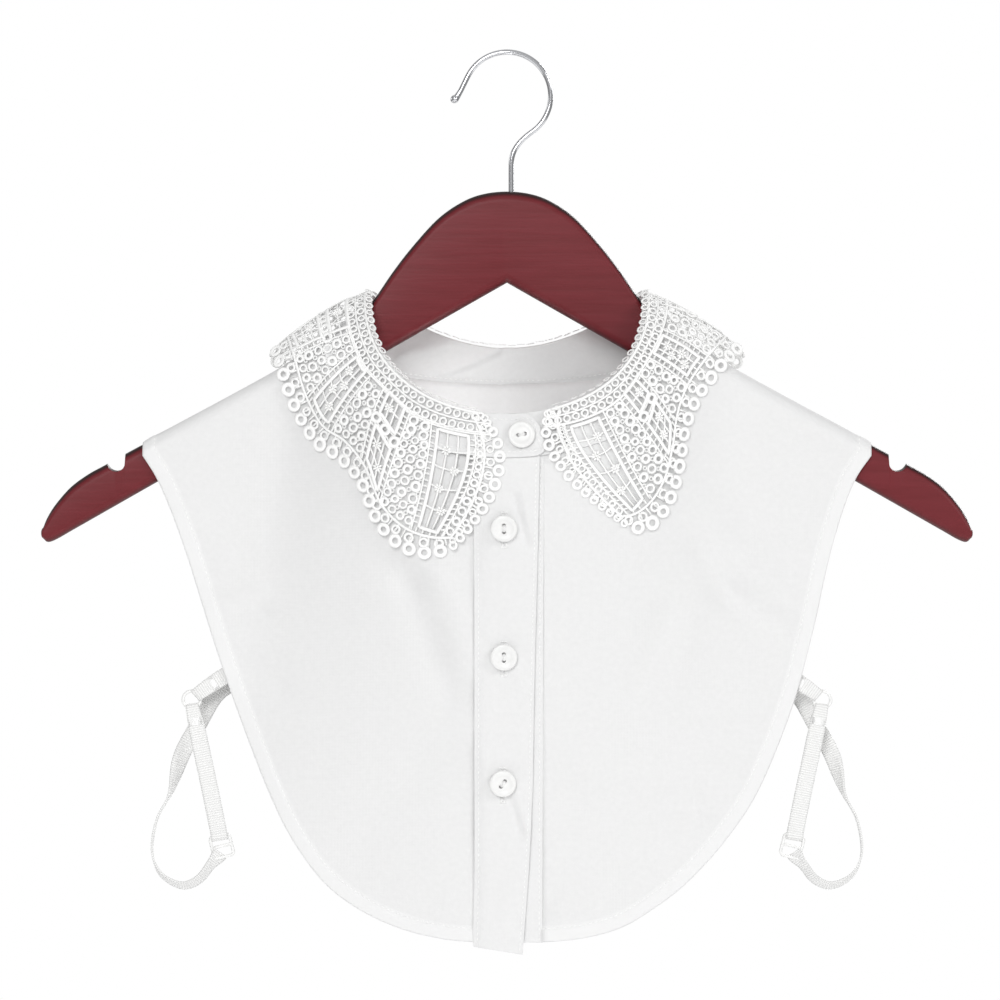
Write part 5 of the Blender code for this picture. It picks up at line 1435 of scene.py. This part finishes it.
# Woven elastic: polyester over rubber cords. It gives the eye a soft sheen, fine ribs across the band 1.1 mm apart
# and fainter ones along it.
ribbed_elastic, tree, shader = new_finish("white_woven_elastic")
flat_place = add_node(tree, "ShaderNodeUVMap", uv_map="flat")
ribs = add_node(tree, "ShaderNodeTexWave", {"Vector": flat_place.outputs[0], "Scale": WAVE_PERIOD / 0.001},
                bands_direction="Y")
picks = add_node(tree, "ShaderNodeTexWave", {"Vector": flat_place.outputs[0], "Scale": WAVE_PERIOD / 0.0011},
                 bands_direction="X")
woven = add_node(tree, "ShaderNodeMath", {0: ribs.outputs["Fac"], 1: 0.1, 2: picks.outputs["Fac"]},
                 operation="MULTIPLY_ADD")
shade = add_node(tree, "ShaderNodeMix", {0: woven.outputs[0], 6: linear("DCDCDB"), 7: linear("F0F0EF")},
                 data_type="RGBA")
tree.links.new(shade.outputs[2], shader.inputs["Base Color"])
relief = add_node(tree, "ShaderNodeBump", {"Height": woven.outputs[0], "Strength": 0.4, "Distance": 0.0003})
tree.links.new(relief.outputs[0], shader.inputs["Normal"])
shader.inputs["Roughness"].default_value = 0.55
shader.inputs["Sheen Weight"].default_value = 0.3

# Nylon-coated steel wire: a smooth plastic gloss over white.
coated_wire, tree, shader = new_finish("white_nylon_coated_wire")
where = add_node(tree, "ShaderNodeTexCoord")
skin_noise = add_node(tree, "ShaderNodeTexNoise", {"Vector": where.outputs["Object"], "Scale": 800.0})
coat = add_node(tree, "ShaderNodeMix", {0: skin_noise.outputs["Fac"], 6: linear("E9E9E8"), 7: linear("F4F4F3")},
                data_type="RGBA")
tree.links.new(coat.outputs[2], shader.inputs["Base Color"])
peel = add_node(tree, "ShaderNodeBump", {"Height": skin_noise.outputs["Fac"], "Strength": 0.06, "Distance": 0.0002})
tree.links.new(peel.outputs[0], shader.inputs["Normal"])
shader.inputs["Roughness"].default_value = 0.28


def wire_ring(name, side, solid):
    angles = np.linspace(0, math.tau, 40, endpoint=False)
    circle = np.stack([side * RING_PLACE[0] + RING_RADIUS * np.cos(angles), np.full(40, RING_PLACE[1]),
                       RING_PLACE[2] + RING_RADIUS * np.sin(angles)], axis=1)
    bm = bmesh.new()
    formed_grid(bm, tube(circle, RING_WIRE, 10, (0, 1, 0), closed=True))
    finished(name, bm, coated_wire, "coated_metal", solid)


def slider(name, side, solid):
    """A rounded wire frame with a straight bar across its middle."""
    half_wide, half_high, corner = SLIDER_WIDTH / 2 - SLIDER_WIRE, SLIDER_HEIGHT / 2 - SLIDER_WIRE, 1.8
    outline = []
    for quarter, (way_x, way_z) in enumerate([(1, 1), (-1, 1), (-1, -1), (1, -1)]):
        for step in range(6):
            angle = math.radians(90 * (quarter + step / 5))
            outline.append((way_x * (half_wide - corner) + corner * math.cos(angle), 0,
                            way_z * (half_high - corner) + corner * math.sin(angle)))
    bar = [(x, 0, 0) for x in np.linspace(-half_wide, half_wide, 5)]
    turn = math.radians(side * SLIDER_TURN)
    bm = bmesh.new()
    for path, closed in ((outline, True), (bar, False)):
        path = np.array(path, float)
        turned = np.stack([path[:, 0] * math.cos(turn) + path[:, 2] * math.sin(turn), path[:, 1],
                           path[:, 2] * math.cos(turn) - path[:, 0] * math.sin(turn)], axis=1)
        place = turned + np.array([side * SLIDER_PLACE[0], SLIDER_PLACE[1], SLIDER_PLACE[2]])
        formed_grid(bm, tube(place, SLIDER_WIRE, 8, (0, 1, 0), closed=closed))
    finished(name, bm, coated_wire, "coated_metal", solid)


def zigzag(bm, side, start, end, depth, wide, count):
    """A close zigzag across a band, from one place of its middle line to another."""
    start, end = np.array(start, float), np.array(end, float)
    along = (end - start) / np.linalg.norm(end - start)
    across = np.array([-along[1], along[0]])
    index = np.arange(0, count + 0.01, 0.2)
    swing = 1 - 2 * np.abs(index % 2 - 1)
    spots = start + (end - start) * (index / count)[:, None] + across * (wide / 2 * swing)[:, None]
    formed_grid(bm, tube(np.stack([side * spots[:, 0], 0 * index + depth, spots[:, 1]], axis=1), 0.2, 4, (0, 1, 0)))


bm = bmesh.new()
for side, word in ((LEFT, "left"), (RIGHT, "right")):
    elastic_band("tab_" + word + "_band", side, TAB_ROUTE, 4, "tab_" + word)
    elastic_band("strap_" + word + "_band", side, STRAP_ROUTE, 5, "strap_" + word)
    elastic_band("loop_" + word + "_band", side, LOOP_ROUTE, 8, "loop_" + word)
    wire_ring("ring_" + word + "_wire", side, "ring_" + word)
    slider("slider_" + word + "_wire", side, "slider_" + word)
    zigzag(bm, side, (138.2, -297.0), (140.2, -298.3), -7.1, 6.4, 12)
    zigzag(bm, side, (148.3, -314.2), (147.6, -317.6), -7.3, 6.2, 14)
finished("elastic_stitches", bm, sewing_thread, "elastic")


# Studio. A pale floor well below the hanging garment, a white room, a soft key light from the front right, and a
# camera with a long lens a little above the middle of the garment.
FLOOR_HEIGHT = -0.62
FLOOR_RADIUS = 1.1
CAMERA_DISTANCE = 2.6
CAMERA_RISE = 3.0
FRAME_WIDTH = 0.475
SENSOR = 36.0
TARGET = Vector((-0.0033, 0.0, -0.2109))

floor_bm = bmesh.new()
bmesh.ops.create_circle(floor_bm, cap_ends=True, segments=64, radius=FLOOR_RADIUS,
                        matrix=Matrix.Translation((0, 0, FLOOR_HEIGHT)))
floor_mesh = bpy.data.meshes.new("studio_floor")
floor_bm.to_mesh(floor_mesh)
floor_bm.free()
floor = bpy.data.objects.new("studio_floor", floor_mesh)
bpy.context.scene.collection.objects.link(floor)
pale_paper, tree, shader = new_finish("pale_studio_paper")
shader.inputs["Base Color"].default_value = linear("F2F2F2")
shader.inputs["Roughness"].default_value = 0.9
shader.inputs["Emission Color"].default_value = (1, 1, 1, 1)
shader.inputs["Emission Strength"].default_value = 0.2
floor_mesh.materials.append(pale_paper)

room = bpy.data.worlds.new("white_room")
room.use_nodes = True
bpy.context.scene.world = room
tree = room.node_tree
light = tree.nodes["Background"]
light.inputs["Strength"].default_value = 1.0
seen = add_node(tree, "ShaderNodeLightPath")
way = add_node(tree, "ShaderNodeTexCoord")
parts = add_node(tree, "ShaderNodeSeparateXYZ", {0: way.outputs["Generated"]})
sideways = add_node(tree, "ShaderNodeMath", {0: parts.outputs["X"]}, operation="ABSOLUTE")
wall = add_node(tree, "ShaderNodeMapRange", {"Value": sideways.outputs[0], "From Min": 0.35, "From Max": 0.95,
                                             "To Min": 0.58, "To Max": 0.28})
shown = add_node(tree, "ShaderNodeMath", {0: wall.outputs[0], 1: seen.outputs["Is Camera Ray"]}, operation="MAXIMUM")
grey = add_node(tree, "ShaderNodeCombineColor", {0: shown.outputs[0], 1: shown.outputs[0], 2: shown.outputs[0]})
tree.links.new(grey.outputs[0], light.inputs["Color"])


def soft_light(name, place, power, size, aim=TARGET):
    lamp = bpy.data.lights.new(name, "AREA")
    lamp.energy = power
    lamp.shape = "DISK"
    lamp.size = size
    thing = bpy.data.objects.new(name, lamp)
    thing.location = place
    thing.rotation_euler = (aim - Vector(place)).to_track_quat("-Z", "Y").to_euler()
    bpy.context.scene.collection.objects.link(thing)


soft_light("key_light", (1.65, -1.2, 0.6), 10.0, 0.7)
soft_light("front_light", (-0.45, -2.12, 0.6), 22.0, 1.0)
soft_light("back_light", (0.9, 1.9, 0.35), 20.0, 0.9)
soft_light("left_light", (-2.2, 0.5, 0.4), 4.0, 0.9)
soft_light("right_light", (2.2, 0.7, 0.4), 3.5, 0.9)
# the glow that comes through the front's single layer of lawn on to the inside of the back
soft_light("glow_light", (-0.008, -0.018, -0.19), 0.018, 0.03, Vector((-0.07, 0.035, -0.1)))
bpy.data.objects["glow_light"].visible_camera = False


lens = bpy.data.cameras.new("camera")
lens.sensor_width = SENSOR
lens.lens = SENSOR * CAMERA_DISTANCE / FRAME_WIDTH
lens.clip_end = 50.0
camera = bpy.data.objects.new("camera", lens)
rise = math.radians(CAMERA_RISE)
camera.location = TARGET + Vector((0, -math.cos(rise), math.sin(rise))) * CAMERA_DISTANCE
camera.rotation_euler = (math.radians(90) - rise, 0, 0)
bpy.context.scene.collection.objects.link(camera)
bpy.context.scene.camera = camera
bpy.context.scene.view_settings.view_transform = "Standard"
